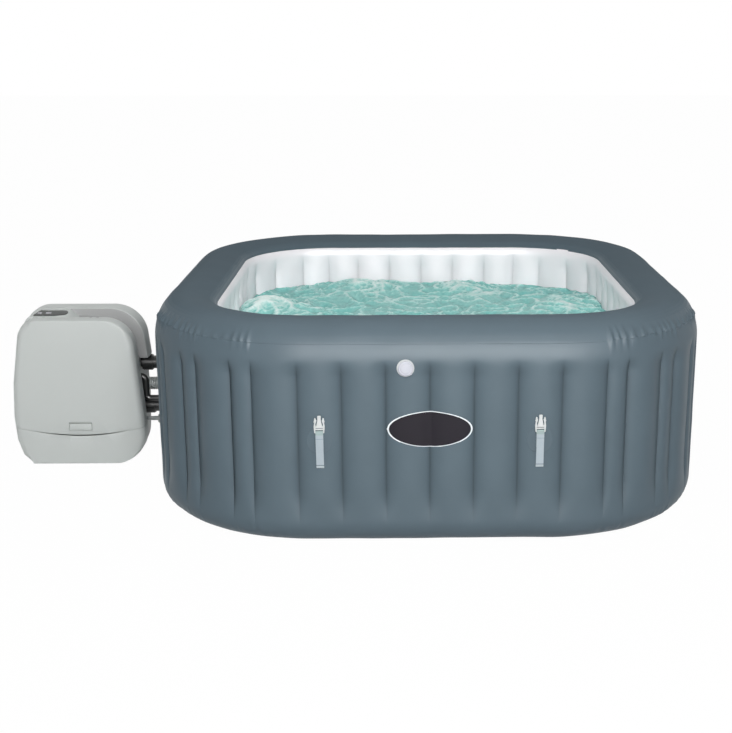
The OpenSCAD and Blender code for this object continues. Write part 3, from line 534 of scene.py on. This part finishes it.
for i in range(len(x)):
    p = Vector((x[i], y[i], 0))
    near = max(math.exp(-((x[i] - j[0]) ** 2 + (y[i] - j[1]) ** 2) / 0.020) for j in jets)
    swirl = noise.noise_vector(p * 5) * 0.05
    chop = 1 - abs(noise.noise((p + swirl) * 13 + Vector((0, 0, 3))) * 2)
    small = 1 - abs(noise.noise((p + swirl) * 34 + Vector((0, 0, 7))) * 2)
    swell = noise.noise(p * 4.2 + Vector((0, 0, 1)))
    tall[i] = 0.012 * swell + 0.013 * (chop - 0.6) + 0.0045 * (small - 0.6) + near * (0.036 + 0.030 * swell)
    foam[i] = 0.55 * chop ** 4 + 0.35 * small ** 3 * (0.4 + near) + 0.5 * near * (0.6 + swell)
calm = fade(1 - square, 0, 0.02)
move_points(water, np.stack([x, y, water_z + tall * (0.5 + 0.5 * calm)], -1))
bpy.ops.object.mode_set(mode="EDIT")
bpy.ops.mesh.select_all(action="SELECT")
bpy.ops.mesh.region_to_loop()
bpy.ops.mesh.extrude_region_move(TRANSFORM_OT_translate={"value": (0, 0, 0)})
bpy.ops.transform.resize(value=(1, 1, 0), center_override=(0, 0, floor_liner_z))
bpy.ops.mesh.edge_face_add()
bpy.ops.mesh.select_all(action="SELECT")
bpy.ops.mesh.normals_make_consistent(inside=False)
bpy.ops.object.mode_set(mode="OBJECT")
values = np.zeros(len(water.data.vertices))
values[: len(foam)] = np.clip(foam, 0, 1)
mark(water, "foam", values)
bpy.ops.object.shade_smooth()
wet = bpy.data.materials.new("bubbling_water")
wet.use_nodes = True
nodes, links = wet.node_tree.nodes, wet.node_tree.links
shader = nodes["Principled BSDF"]
shader.inputs["IOR"].default_value = 1.33
place = nodes.new("ShaderNodeTexCoord").outputs["Object"]
specks = nodes.new("ShaderNodeTexNoise")
specks.inputs["Scale"].default_value = 60
specks.inputs["Detail"].default_value = 6
specks.inputs["Roughness"].default_value = 0.7
links.new(place, specks.inputs["Vector"])
froth = maths(wet.node_tree, "MULTIPLY_ADD", specks.outputs["Fac"], 1.3, -0.57)
white_share = maths(wet.node_tree, "ADD", froth, read_mark(wet.node_tree, "foam"))
white_share.node.use_clamp = True


def ramp(tree, value, stops):
    """Colours a value by a ramp through stops of (place, colour)."""
    made = tree.nodes.new("ShaderNodeValToRGB")
    elements = made.color_ramp.elements
    for element, (place, colour) in ((elements[0], stops[0]), (elements[1], stops[-1])):
        element.position, element.color = place, (*colour, 1)
    for place, colour in stops[1:-1]:
        elements.new(place).color = (*colour, 1)
    tree.links.new(value, made.inputs[0])
    return made


hue = ramp(wet.node_tree, white_share, (
    (0.0, (0.15, 0.46, 0.43)), (0.45, (0.28, 0.62, 0.58)), (1.0, (0.80, 0.93, 0.90))))
links.new(hue.outputs[0], shader.inputs["Base Color"])
links.new(spread(wet.node_tree, white_share, 0.12, 0.45), shader.inputs["Roughness"])
ripples = nodes.new("ShaderNodeBump")
ripples.inputs["Distance"].default_value = 0.004
links.new(specks.outputs["Fac"], ripples.inputs["Height"])
links.new(ripples.outputs[0], shader.inputs["Normal"])
water.data.materials.append(wet)
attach(water, "root")

# ---- Badge: a dark oval patch with a pale rim and a bare face, welded over the front's two
# middle panels, so it follows the shallow fold between them.
def on_side(side, x, y, z):
    """Points given at the front wall, carried round the tub to one of its four sides."""
    c, s = math.cos(side * math.pi / 2), math.sin(side * math.pi / 2)
    return np.stack([c * x - s * y, s * x + c * y, z], -1)


def oval_patch(name, size, side, place, cells, power=2.0, stand_off=0.0008):
    """A thin oval laid on the wall sheet of one side, marked with the distance from its middle."""
    patch, flat, _, _ = sheet_grid(name, cells[0] + 1, cells[1] + 1)
    square = np.maximum(np.abs(flat[:, 0]), np.abs(flat[:, 1]))
    turn = np.arctan2(flat[:, 1], flat[:, 0])
    c, s = np.abs(np.cos(turn)), np.abs(np.sin(turn))
    reach = square / (c ** power + s ** power) ** (1 / power)
    x = place[0] + size[0] / 2 * reach * np.cos(turn)
    z = place[1] + size[1] / 2 * reach * np.sin(turn)
    move_points(patch, on_side(side, x, np.full(len(x), -half - 0.004), z))
    mark(patch, "rim", square)
    bpy.ops.object.mode_set(mode="EDIT")
    bpy.ops.mesh.select_all(action="SELECT")
    bpy.ops.mesh.flip_normals()
    bpy.ops.object.mode_set(mode="OBJECT")
    bpy.ops.object.shade_smooth()
    lay = patch.modifiers.new("lay", "SHRINKWRAP")
    lay.target = wall_sheet
    lay.wrap_method = "NEAREST_SURFACEPOINT"
    lay.wrap_mode = "ABOVE_SURFACE"
    lay.offset = stand_off
    soft = patch.modifiers.new("soft", "SMOOTH")
    soft.factor = 0.5
    soft.iterations = 6
    finish_modifiers(patch)
    thicken(patch, 0.0006)
    return patch


badge = oval_patch("badge", (0.264, 0.113), 0, (0.0, 0.377), (110, 60), power=1.9, stand_off=0.0016)
printed = finish("badge_face", (0.016, 0.014, 0.019), 0.6, specular=0.05, wander=0.03, patch=0.4)
pale_rim = ramp(printed.node_tree, read_mark(printed.node_tree, "rim"),
                ((0.943, (0, 0, 0)), (0.953, (1, 1, 1))))
lay_over(printed, pale_rim.outputs[0], (0.72, 0.76, 0.78, 1))
dress(badge, printed)

# ---- Straps for the cover: on every wall two round patches hold a band of pale webbing that
# goes up, over the buckle's bar and down in front to a folded hem.
strap_x, bar_z, bar_y = 2.5 * pitch, 0.372, -half - 0.007
webbing = finish("webbing", (0.36, 0.42, 0.46), 0.85, specular=0.2, wander=0.06, patch=0.02)
nodes, links = webbing.node_tree.nodes, webbing.node_tree.links
place = nodes.new("ShaderNodeTexCoord").outputs["Object"]
turned = nodes.new("ShaderNodeMapping")
turned.inputs["Rotation"].default_value = (0, 0, math.radians(45))
links.new(place, turned.inputs["Vector"])
weave = None
for direction, fineness in (("Z", 420), ("X", 380)):
    threads = nodes.new("ShaderNodeTexWave")
    threads.bands_direction = direction
    threads.inputs["Scale"].default_value = fineness
    links.new(turned.outputs[0], threads.inputs["Vector"])
    crossed = threads.outputs["Fac"]
    weave = crossed if weave is None else maths(webbing.node_tree, "MULTIPLY", weave, crossed)
nodes["Bump"].inputs["Distance"].default_value = 0.0003
links.new(weave, nodes["Bump"].inputs["Height"])
height = nodes.new("ShaderNodeSeparateXYZ")
links.new(place, height.inputs[0])
height_share = spread(webbing.node_tree, height.outputs["Z"], 0, 1, bar_z - 0.115, bar_z + 0.005)
# Bands across the webbing by height: a lighter hem, just above it a dark line of painted shade where a
# groove would be, a line of stitches and a greener fold by the bar.
hem, groove_painted_shade, cloth = (1.15, 1.12, 1.08), (0.35, 0.38, 0.40), (1, 1, 1)
stitches, fold = (0.72, 0.76, 0.78), (0.86, 0.93, 0.84)
bands = ramp(webbing.node_tree, height_share, (
    (0.0, hem), (0.085, groove_painted_shade), (0.105, cloth), (0.775, stitches), (0.790, cloth), (0.885, fold)))
bands.color_ramp.interpolation = "CONSTANT"
lay_over(webbing, 1, bands.outputs[0], "MULTIPLY")
loop_r, front_run = 0.0038, 0.0022
for k in range(8):
    side, across = k // 2, (-strap_x if k % 2 == 0 else strap_x)
    patch = oval_patch(f"strap_patch_{k + 1}", (0.084, 0.084), side, (across, bar_z - 0.030), (32, 32))
    dress(patch, vinyl)
    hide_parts("strap_patches")
    path = [(-half - 0.0030, bar_z - 0.052 + 0.012 * i) for i in range(4)]
    path += [(bar_y + loop_r * math.cos(a), bar_z + loop_r * math.sin(a))
             for a in np.radians(np.arange(0, 181, 20))]
    sway = 0.6 * math.sin(2.3 * k + 1)
    for i in range(1, 15):
        z = bar_z - 0.0075 * i
        wave = 0.0005 * abs(math.sin(0.45 * i + k)) * fade(i, 3, 8)
        path.append((bar_y - loop_r + front_run * fade(i, 0, 12) + wave, z))
    low_y, low_z = path[-1][0], bar_z - 0.112
    path += [(low_y + 0.0011 - 0.0011 * math.cos(a), low_z + 0.0012 - 0.0012 * math.sin(a))
             for a in np.radians(np.arange(15, 181, 33))]
    path += [(low_y + 0.0023, low_z + z) for z in (0.0035, 0.0055, 0.0075)]
    band, flat, row, _ = sheet_grid(f"webbing_{k + 1}", 7, len(path))
    y, z = np.array(path)[row].T
    drop = np.clip(bar_z - z, 0, None)
    x = across + 0.0115 * flat[:, 0] + 0.015 * sway * drop * drop * 10
    move_points(band, on_side(side, x, y, z))
    bpy.ops.object.shade_smooth()
    solid = band.modifiers.new("thickness", "SOLIDIFY")
    solid.thickness = 0.0011
    solid.offset = 0
    rounded = band.modifiers.new("edge", "BEVEL")
    rounded.width = 0.0003
    rounded.segments = 2
    rounded.limit_method = "ANGLE"
    finish_modifiers(band)
    mend()
    dress(band, webbing)
    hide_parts("strap_webbing")

# ---- Buckles: white side-release halves that swing on the webbing, each a slotted frame with a
# tapering tongue between two barbed prongs.
white = finish("white_plastic", (0.54, 0.56, 0.56), 0.5, specular=0.15, wander=0.02)
edge_round = 0.0006
edge = [(14.2, -1.8), (14.9, -0.9), (16.5, 17.2), (15.6, 24), (14.6, 29.5), (16.4, 32.5), (15.2, 36),
        (14.4, 42), (13.0, 43.6), (11.2, 42.4), (10.4, 38.5), (8.6, 36), (9.8, 32.5), (11.4, 29),
        (12.3, 24), (11.4, 17.6), (9.2, 17.6), (7.4, 24), (5.4, 33), (4.3, 41), (4.9, 44.5),
        (4.7, 49.2), (3.4, 50.6)]
outline = edge + [(-x, z) for x, z in reversed(edge)]
slots = [[(-x, low), (-x, high), (x, high), (x, low)]
         for x, low, high in ((12.3, 1.8, 7.9), (11.4, 10.3, 14.2))]
for k in range(8):
    flat_shape = bpy.data.curves.new(f"buckle_{k + 1}_outline", "CURVE")
    flat_shape.dimensions = "2D"
    flat_shape.fill_mode = "BOTH"
    flat_shape.extrude = 0.0018
    flat_shape.bevel_depth = edge_round
    flat_shape.bevel_resolution = 2
    for points in [outline] + slots:
        loop = flat_shape.splines.new("POLY")
        loop.points.add(len(points) - 1)
        loop.use_cyclic_u = True
        for point, (x, z) in zip(loop.points, points):
            inset = edge_round if points is outline else 0
            point.co = (x / 1000 * (1 - inset / 0.016), z / 1000, 0, 1)
    bpy.ops.object.select_all(action="DESELECT")
    clip = bpy.data.objects.new(f"clip_{k + 1}", flat_shape)
    bpy.context.collection.objects.link(clip)
    clip.select_set(True)
    bpy.context.view_layer.objects.active = clip
    bpy.ops.object.convert(target="MESH")
    clip = bpy.context.object
    side, across = k // 2, (-strap_x if k % 2 == 0 else strap_x)
    flat = points_of(clip)
    move_points(clip, on_side(side, across + flat[:, 0], bar_y - flat[:, 2], bar_z + flat[:, 1]))
    mend(0.00003)
    bpy.ops.object.shade_smooth_by_angle(angle=math.radians(35))
    dress(clip, white, f"buckle_{k + 1}")
    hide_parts(f"buckle_{k + 1}")

# ---- Pump shells: the front module is a rounded trapezoid with a soft edge round its face, the
# housing behind it a taller arch. Both are drawn round corner circles (x, z, radius), and their
# walls are 3 mm thick.
pump_left, pump_right, pump_mid, foot, shell_t = -1.490, -1.007, -1.2485, 0.003, 0.0035
left_corners = [(pump_left + 0.050, 0.050, 0.030), (pump_left + 0.045, 0.100, 0.040),
                (pump_left + 0.040, 0.180, 0.040), (pump_left + 0.067, 0.300, 0.060)]
front_corners = left_corners + [(pump_left + 0.103, 0.463, 0.070), (pump_left + 0.100, 0.478, 0.060),
                                (pump_right - 0.144, 0.428, 0.110), (pump_right - 0.114, 0.190, 0.100)]
rear_corners = left_corners + [(pump_left + 0.110, 0.489, 0.070), (pump_right - 0.141, 0.434, 0.125),
                               (pump_right - 0.090, 0.190, 0.100)]
channel_corners = [(x, z, r + 0.025) for x, z, r in left_corners] + [
    (pump_left + 0.103, 0.463, 0.092), (pump_left + 0.100, 0.478, 0.083),
    (pump_right - 0.155, 0.428, 0.125), (pump_right - 0.135, 0.190, 0.130)]
bottom_corners = [(pump_left + 0.065, 0.015), (pump_right - 0.120, 0.110)]
bay = (pump_left + 0.105, pump_left + 0.365, 0.200, 0.450)


def drawn_line(corners, margin, floor=foot, count=256, bottoms=bottom_corners):
    """Points of the closed line drawn round corner circles less a margin, and the ways they face."""
    turn = np.linspace(0.1, 0.1 + 2 * math.pi, 4001)
    face = np.stack([np.cos(turn), np.sin(turn)])
    circles = [(x, z, max(r - margin, 0.004)) for x, z, r in corners]
    circles += [(x, max(r - margin, 0.006) + floor, max(r - margin, 0.006)) for x, r in bottoms]
    circles = np.array(circles)
    pick = circles[np.argmax(circles[:, :2] @ face + circles[:, 2:], 0)]
    x, z = pick[:, 0] + pick[:, 2] * face[0], pick[:, 1] + pick[:, 2] * face[1]
    along = np.concatenate([[0], np.cumsum(np.hypot(np.diff(x), np.diff(z)))])
    share = along / along[-1] + (turn - turn[0]) / (2 * math.pi)
    at = np.linspace(0, 2, count + 1)
    facing = np.interp(at, share, turn)
    return np.interp(at, share, x), np.interp(at, share, z), facing


def loft(name, rows, centre=(pump_mid, 0.270)):
    """A closed body through rows of (x, z, y, scale), each scale drawing its row to the centre."""
    body, _, row, column = sheet_grid(name, len(rows[0][0]), len(rows))
    xs = np.array([centre[0] + (x - centre[0]) * k for x, z, y, k in rows])
    zs = np.array([centre[1] + (z - centre[1]) * k for x, z, y, k in rows])
    ys = np.array([y + 0 * x for x, z, y, k in rows])
    move_points(body, np.stack([xs[row, column], ys[row, column], zs[row, column]], -1))
    mend(0.00002)
    return body


def block(x0, x1, y0, y1, z0, z1):
    bpy.ops.object.select_all(action="DESELECT")
    bpy.ops.mesh.primitive_cube_add(size=1, location=((x0 + x1) / 2, (y0 + y1) / 2, (z0 + z1) / 2))
    made = bpy.context.object
    made.scale = (x1 - x0, y1 - y0, z1 - z0)
    bpy.ops.object.transform_apply(location=True, rotation=False, scale=True)
    return made


def rod(x, y, z, radius, length, turn=(0, math.pi / 2, 0), sides=48):
    bpy.ops.object.select_all(action="DESELECT")
    bpy.ops.mesh.primitive_cylinder_add(
        vertices=sides, radius=radius, depth=length, location=(x, y, z), rotation=turn)
    bpy.ops.object.transform_apply(location=True, rotation=True, scale=False)
    return bpy.context.object


def carve(piece, tool, how="DIFFERENCE"):
    """A boolean step between two closed bodies; the tool goes."""
    step = piece.modifiers.new("carve", "BOOLEAN")
    step.operation = how
    step.object = tool
    step.solver = "EXACT"
    finish_modifiers(piece)
    bpy.data.objects.remove(tool)


def copy_of(piece, name):
    bpy.ops.object.select_all(action="DESELECT")
    piece.select_set(True)
    bpy.context.view_layer.objects.active = piece
    bpy.ops.object.duplicate()
    bpy.context.object.name = name
    return bpy.context.object


def soften(piece, width=0.0008, angle=40, segments=2):
    """Rounds the edges a little and shades the rest smooth."""
    rounded = piece.modifiers.new("edge", "BEVEL")
    rounded.width = width
    rounded.segments = segments
    rounded.limit_method = "ANGLE"
    rounded.angle_limit = math.radians(angle)
    finish_modifiers(piece)
    bpy.ops.object.shade_smooth_by_angle(angle=math.radians(30))


crease_z, front_y, face_y, frame_y = 0.177, -0.125, -0.1238, -0.06105
soft_margin, sharp_margin, soft_depth, sharp_depth = 0.026, 0.0055, 0.0228, 0.0055


def top_edge(margin, top_margin):
    """The front module's line, with another margin along its top, and how much of top each point is."""
    x, z, facing = drawn_line(front_corners, margin)
    upper = fade(np.sin(facing), 0.35, 0.85) * (1 - fade(facing, 1.62, 2.1))
    top_x, top_z, _ = drawn_line(front_corners, top_margin)
    return x + (top_x - x) * upper, z + (top_z - z) * upper, upper


rows = []
for scale in (0, 0.2, 0.4, 0.6, 0.78, 0.9, 0.96):
    x, z, _ = top_edge(soft_margin, sharp_margin)
    rows.append((x, z, front_y + (face_y - front_y) * scale ** 2, scale))
for t in (0, 12, 24, 36, 48, 60, 72, 82, 90):
    c, s = math.cos(math.radians(t)), math.sin(math.radians(t))
    x, z, upper = top_edge(soft_margin * (1 - s), sharp_margin * (1 - s))
    y = face_y + (1 - c) * (soft_depth + (sharp_depth - soft_depth) * upper)
    rows.append((x, z, y, 1))
side_y, top_y = -0.1006, -0.1160
for k, dip in enumerate((0, 0.0013, 0.0013, 0)):
    x, z, upper = top_edge(0, dip)
    rows.append((x, z, side_y + 0.0002 * k + (top_y + 0.0008 * k - side_y) * upper, 1))
for y in (-0.0985, -0.090, -0.080, -0.070, frame_y):
    rows.append((*drawn_line(front_corners, 0)[:2], y, 1))
rows.append((*drawn_line(front_corners, 0)[:2], frame_y, 0))
front_shell = loft("front_shell", rows)
bpy.ops.object.mode_set(mode="EDIT")
for z in (crease_z - 0.004, crease_z, crease_z + 0.004):
    bpy.ops.mesh.select_all(action="SELECT")
    bpy.ops.mesh.bisect(plane_co=(0, 0, z), plane_no=(0, 0, 1))
bpy.ops.object.mode_set(mode="OBJECT")
flat = points_of(front_shell)
below = np.clip(crease_z - flat[:, 2], 0, None)
flat[:, 1] += 0.025 * np.minimum(below, 0.1) * fade(-flat[:, 1], 0.100, 0.122)
move_points(front_shell, flat)
hollow = []
for y, margin in ((-0.1202, 0.026), (-0.116, 0.015), (-0.111, 0.0075), (-0.104, 0.0045),
                  (-0.098, 0.003), (-0.040, 0.003)):
    x, z, _ = drawn_line(front_corners, margin, foot + shell_t)
    hollow.append((x, z, y, 1))
hollow = [(*hollow[0][:3], 0)] + hollow + [(*hollow[-1][:3], 0)]
carve(front_shell, loft("front_hollow", hollow))
lower_shell = copy_of(front_shell, "lower_shell")
facing_front = (math.pi / 2, 0, 0)
for parting_z, radius in ((0.1130, 1.0), (0.1090, 0.770)):
    carve(lower_shell, rod(pump_mid, -0.1, parting_z + radius, radius, 0.4, facing_front, 720))
carve(front_shell, rod(pump_mid, -0.1, 0.114 + 1.0, 1.0, 0.4, facing_front, 720), "INTERSECT")
for half_cup, y0, y1, low, high, how in (
    (0.0446, -0.1215, -0.091, 0.1275, 0.1640, "UNION"),
    (0.0436, -0.1243, -0.1200, 0.1285, 0.1630, "UNION"),
    (0.0415, -0.130, -0.094, 0.1305, 0.1610, "DIFFERENCE"),
):
    carve(front_shell, block(pump_mid - half_cup, pump_mid + half_cup, y0, y1, low, high), how)
for s in (-1, 1):
    x = pump_mid + s * 0.025
    carve(front_shell, block(x - 0.0036, x + 0.0036, -0.1, -0.05, 0.1429, 0.1491))
hinge_xs, hinge_y, hinge_z, barrel_r = (pump_left + 0.110, pump_right - 0.180), -0.067, 0.534, 0.0038
for x in hinge_xs:
    for s in (-1, 1):
        middle = x + s * 0.0125
        carve(front_shell, block(middle - 0.005, middle + 0.005, -0.0725, -0.0525, 0.527, 0.547))
    carve(front_shell, rod(x, hinge_y, hinge_z, barrel_r, 0.014), "UNION")
carve(front_shell, block(-1.4385, -1.4365, -0.1180, -0.0600, 0.5290, 0.5450))
carve(front_shell, block(-2, 0, -0.0629, 0.1, 0, 1))
for shell, node in ((front_shell, "front_cover"), (lower_shell, "lower_front")):
    soften(shell, 0.0006)
    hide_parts(node)
front_shell.name = "cover_shell"

# ---- Rear housing: the arch with its rounded back, cut away low on the right for the couplings.
rows = [(*drawn_line(rear_corners, 0.004)[:2], 0.0, k) for k in (0, 0.5, 0.9, 1)]
for y, margin in ((0.0015, 0.0024), (0.004, 0.0012), (0.009, 0.0003), (0.014, 0), (0.027, 0), (0.040, 0)):
    rows.append((*drawn_line(rear_corners, margin)[:2], y, 1))
for y in np.linspace(0.052, 0.213, 15):
    rows.append((*drawn_line(rear_corners, 0.075 * ((y - 0.040) / 0.175) ** 2.3)[:2], y, 1))
for k in (0.985, 0.85, 0.6, 0.3, 0):
    rows.append((*drawn_line(rear_corners, 0.075)[:2], 0.2138 + 0.0012 * (1 - k * k), k))
arch = loft("arch", rows)
rows = [(*drawn_line(rear_corners, 0.007, foot + shell_t)[:2], 0.003, k) for k in (0, 1)]
rows.append((*drawn_line(rear_corners, 0.003, foot + shell_t)[:2], 0.014, 1))
for y in np.linspace(0.040, 0.206, 10):
    margin = 0.0032 + 0.078 * ((y - 0.037) / 0.175) ** 2.2
    rows.append((*drawn_line(rear_corners, margin, foot + shell_t)[:2], y, 1))
rows.append((*rows[-1][:3], 0))
hollow = loft("arch_hollow", rows)
carve(hollow, block(-1.058, -0.9, -0.01, 0.3, -0.01, 0.373))
carve(arch, block(-1.055, -0.9, -0.01, 0.3, -0.01, 0.370))
carve(arch, hollow)
carve(arch, block(bay[0], bay[1], -0.01, 0.02, bay[2], bay[3]))
soften(arch, 0.0012)
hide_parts("rear_housing")

# ---- Channel: the band set back between the front module and the arch, with the plate that
# carries the filter's bay and the sloping console on its left half.
plate = loft("channel", [(*drawn_line(front_corners, 0.005)[:2], y, k) for y, k in
                         ((-0.061, 0), (-0.061, 1), (-0.058, 1), (-0.058, 0))])
rows = []
for y, margin in ((-0.0605, 0.030), (-0.0605, 0.030), (-0.040, 0.030), (-0.012, 0.030),
                  (-0.005, 0.029), (-0.0001, 0.026)):
    rows.append((*drawn_line(channel_corners, margin)[:2], y, 1))
rows[0] = (*rows[0][:3], 0)
rows.append((*rows[-1][:3], 0))
carve(plate, loft("band", rows), "UNION")
rows = [(*drawn_line(channel_corners, 0.033)[:2], y, k)
        for y, k in ((-0.0581, 0), (-0.0581, 1), (0.01, 1), (0.01, 0))]
carve(plate, loft("band_hollow", rows))
rise = 0.016 / 0.061
console = loft("console", [(*drawn_line(rear_corners, 0.004)[:2], y, k) for y, k in
                           ((-0.061, 0), (-0.061, 1), (0.0, 1), (0.0, 0))])
keep = block(-1.450, -1.262, -0.061, 0.0, 0.500, 0.555)
bpy.ops.object.mode_set(mode="EDIT")
bpy.ops.mesh.select_all(action="SELECT")
bpy.ops.mesh.bisect(plane_co=(-1.287, 0, 0), plane_no=(1, 0, 0))
bpy.ops.object.mode_set(mode="OBJECT")
for vertex in keep.data.vertices:
    if vertex.co.z > 0.52:
        vertex.co.z -= rise * -vertex.co.y
        if vertex.co.x > -1.27:
            vertex.co = (-1.236, vertex.co.y, 0.512)
    elif vertex.co.x > -1.27:
        vertex.co.x = -1.236
carve(console, keep, "INTERSECT")
soften(console, 0.0008)
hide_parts("channel_frame")
carve(plate, block(bay[0], bay[1], -0.1, 0.02, bay[2], bay[3]))
for x in [middle + s * 0.011 for middle in hinge_xs for s in (-1, 1)]:
    carve(plate, rod(x, hinge_y, hinge_z, barrel_r, 0.007), "UNION")
    carve(plate, block(x - 0.0035, x + 0.0035, hinge_y, -0.0595, 0.5302, hinge_z), "UNION")
carve(plate, block(pump_mid - 0.035, pump_mid + 0.035, -0.069, -0.0595, 0.1495, 0.1525), "UNION")
soften(plate, 0.0008)
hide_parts("channel_frame")
moulded = finish("pump_shell", (0.535, 0.565, 0.552), 0.48, specular=0.35, wander=0.02)
# A darker grey for the set-back channel: painted shade, standing in for the shade of the recess behind the
# front module.
painted_shade_plastic = finish("pump_channel_painted_shade", (0.36, 0.365, 0.365), 0.55, specular=0.3, wander=0.03)
dress(plate, painted_shade_plastic)
dress(console, moulded)
dress(arch, moulded)
arch.data.materials.append(painted_shade_plastic)
# The arch's front wall inside the channel takes the darker grey: painted shade of the recess.
for face in arch.data.polygons:
    if face.center.y < 0.003 and face.normal.y < -0.9:
        face.material_index = 1
dress(lower_shell, moulded)
dress(front_shell, moulded, "cover")

# ---- Latch: a button in a cup of the cover, set back along its top edge for a fingertip.
latch = block(pump_mid - 0.040, pump_mid + 0.040, -0.1236, -0.1120, 0.132, 0.1557)
carve(latch, block(pump_mid - 0.040, pump_mid + 0.040, -0.1140, -0.1110, 0.132, 0.160), "UNION")
carve(latch, rod(pump_mid, -0.1110, 0.146, 0.0028, 0.009, facing_front), "UNION")
for s in (-1, 1):
    x = pump_mid + s * 0.025
    carve(latch, block(x - 0.003, x + 0.003, -0.118, -0.065, 0.1435, 0.1485), "UNION")
soften(latch, 0.0009, 60, 3)
dress(latch, moulded, "button")
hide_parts("latch_button")

# ---- Control panel: a glossy black leaf on the console with two blank displays.
slope = math.atan(rise)


def on_console(piece):
    """Lays a body drawn in x, z = up the slope, y = out of it on to the console's slope."""
    x, h, d = points_of(piece).T
    y = -0.061 + d * math.cos(slope) - h * math.sin(slope)
    z = 0.539 + d * math.sin(slope) + h * math.cos(slope)
    move_points(piece, np.stack([x, y, z], -1))
    mend()


leaf_corners = [(-1.404, 0.011, 0.004), (-1.387, 0.043, 0.004),
                (-1.330, 0.022, 0.015), (-1.305, 0.030, 0.017)]
rows = []
for h, margin, k in ((0, 0, 0), (0, 0, 1), (0.0016, 0, 1), (0.0021, 0.0002, 1), (0.0024, 0.0007, 1),
                     (0.0025, 0.0014, 1), (0.0025, 0.0014, 0.5), (0.0025, 0.0014, 0)):
    rows.append((*drawn_line(leaf_corners, margin, count=160, bottoms=())[:2], h, k))
leaf = loft("control_leaf", rows, centre=(-1.345, 0.026))
on_console(leaf)
bpy.ops.object.shade_smooth_by_angle(angle=math.radians(30))
glossy = finish("panel_gloss", (0.03, 0.035, 0.035), 0.15, wander=0.05)
dress(leaf, glossy)
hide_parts("control_panel")
lit = finish("blank_display", (0.42, 0.42, 0.46), 0.25, wander=0.02)
for n, (x0, x1) in enumerate(((-1.3955, -1.381), (-1.366, -1.347))):
    screen = block(x0, x1, 0.0022, 0.0028, 0.020, 0.031)
    soften(screen, 0.0003, 30, 2)
    on_console(screen)
    dress(screen, lit)
    screen.name = f"display_{n + 1}"

# ---- Air valve: a screw cap with grips round its rim and a pull tab, on the valve's flange.
cap_low, cap_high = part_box("valve_cap")
cap_x, cap_z = (cap_low.x + cap_high.x) / 2, (cap_low.z + cap_high.z) / 2
turn = np.linspace(0, 2 * math.pi, 289)
grip = 0.5 - 0.5 * np.cos(36 * turn)
tab = np.exp(-((turn - math.radians(315)) / 0.13) ** 2)
rows = []
grip_deep, grip_high, tab_long = 0.5, 0.9, 2.6
for radius, out, ribs, tabbed in (
    (0, 3.4, 0, 0), (20.6, 3.4, 0, 0), (22.3, 3.6, 1, 0), (22.4, 11.0, 1, 1), (21.9, 12.4, 0.6, 1),
    (20.8, 13.2, 0.7, 1), (18.6, 13.2, 0.7, 0), (17.6, 12.9, 0.2, 0), (17.0, 11.6, 0, 0),
    (16.3, 11.5, 0, 0), (15.4, 12.7, 0, 0), (14.0, 13.1, 0, 0), (8.0, 13.3, 0, 0), (0, 13.3, 0, 0),
):
    on_side_face = out < 12
    reach = (radius + grip_deep * ribs * grip * on_side_face + tab_long * tabbed * tab) / 1000
    out = (out - grip_high * ribs * grip * (not on_side_face)) / 1000
    rows.append((cap_x + reach * np.cos(turn), cap_z + reach * np.sin(turn), -half - out, 1))
cap = loft("screw_cap", rows, centre=(cap_x, cap_z))
bpy.ops.object.shade_smooth_by_angle(angle=math.radians(40))
milky = finish("milky_plastic", (0.46, 0.47, 0.52), 0.5, specular=0.12, wander=0.03)
dress(cap, milky, "valve_cap")
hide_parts("valve_cap")

# ---- Closing lines: the CAD parts that show as they are get their finishes.
plain = {
    "vinyl_shell": vinyl,
    "vinyl_liner": liner,
    "white_plastic": white,
    "grey_plastic": finish("grey_plastic", (0.50, 0.53, 0.53), 0.42, wander=0.03),
    "black_plastic": finish("black_plastic", (0.026, 0.028, 0.028), 0.30, wander=0.1),
    "webbing": webbing,
    "pump_shell": moulded,
    "panel_gloss": glossy,
    "steel": finish("steel", (0.6, 0.61, 0.62), 0.3, metallic=1.0),
    "rubber_feet": finish("rubber_feet", (0.02, 0.02, 0.02), 0.7),
    "filter_paper": finish("filter_paper", (0.82, 0.84, 0.87), 0.9),
}
for part in frame["record"]["subparts"]:
    node = frame["nodes"][part["node"]]
    node.data.materials.clear()
    node.data.materials.append(plain[part["material_slot"]])

low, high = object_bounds()
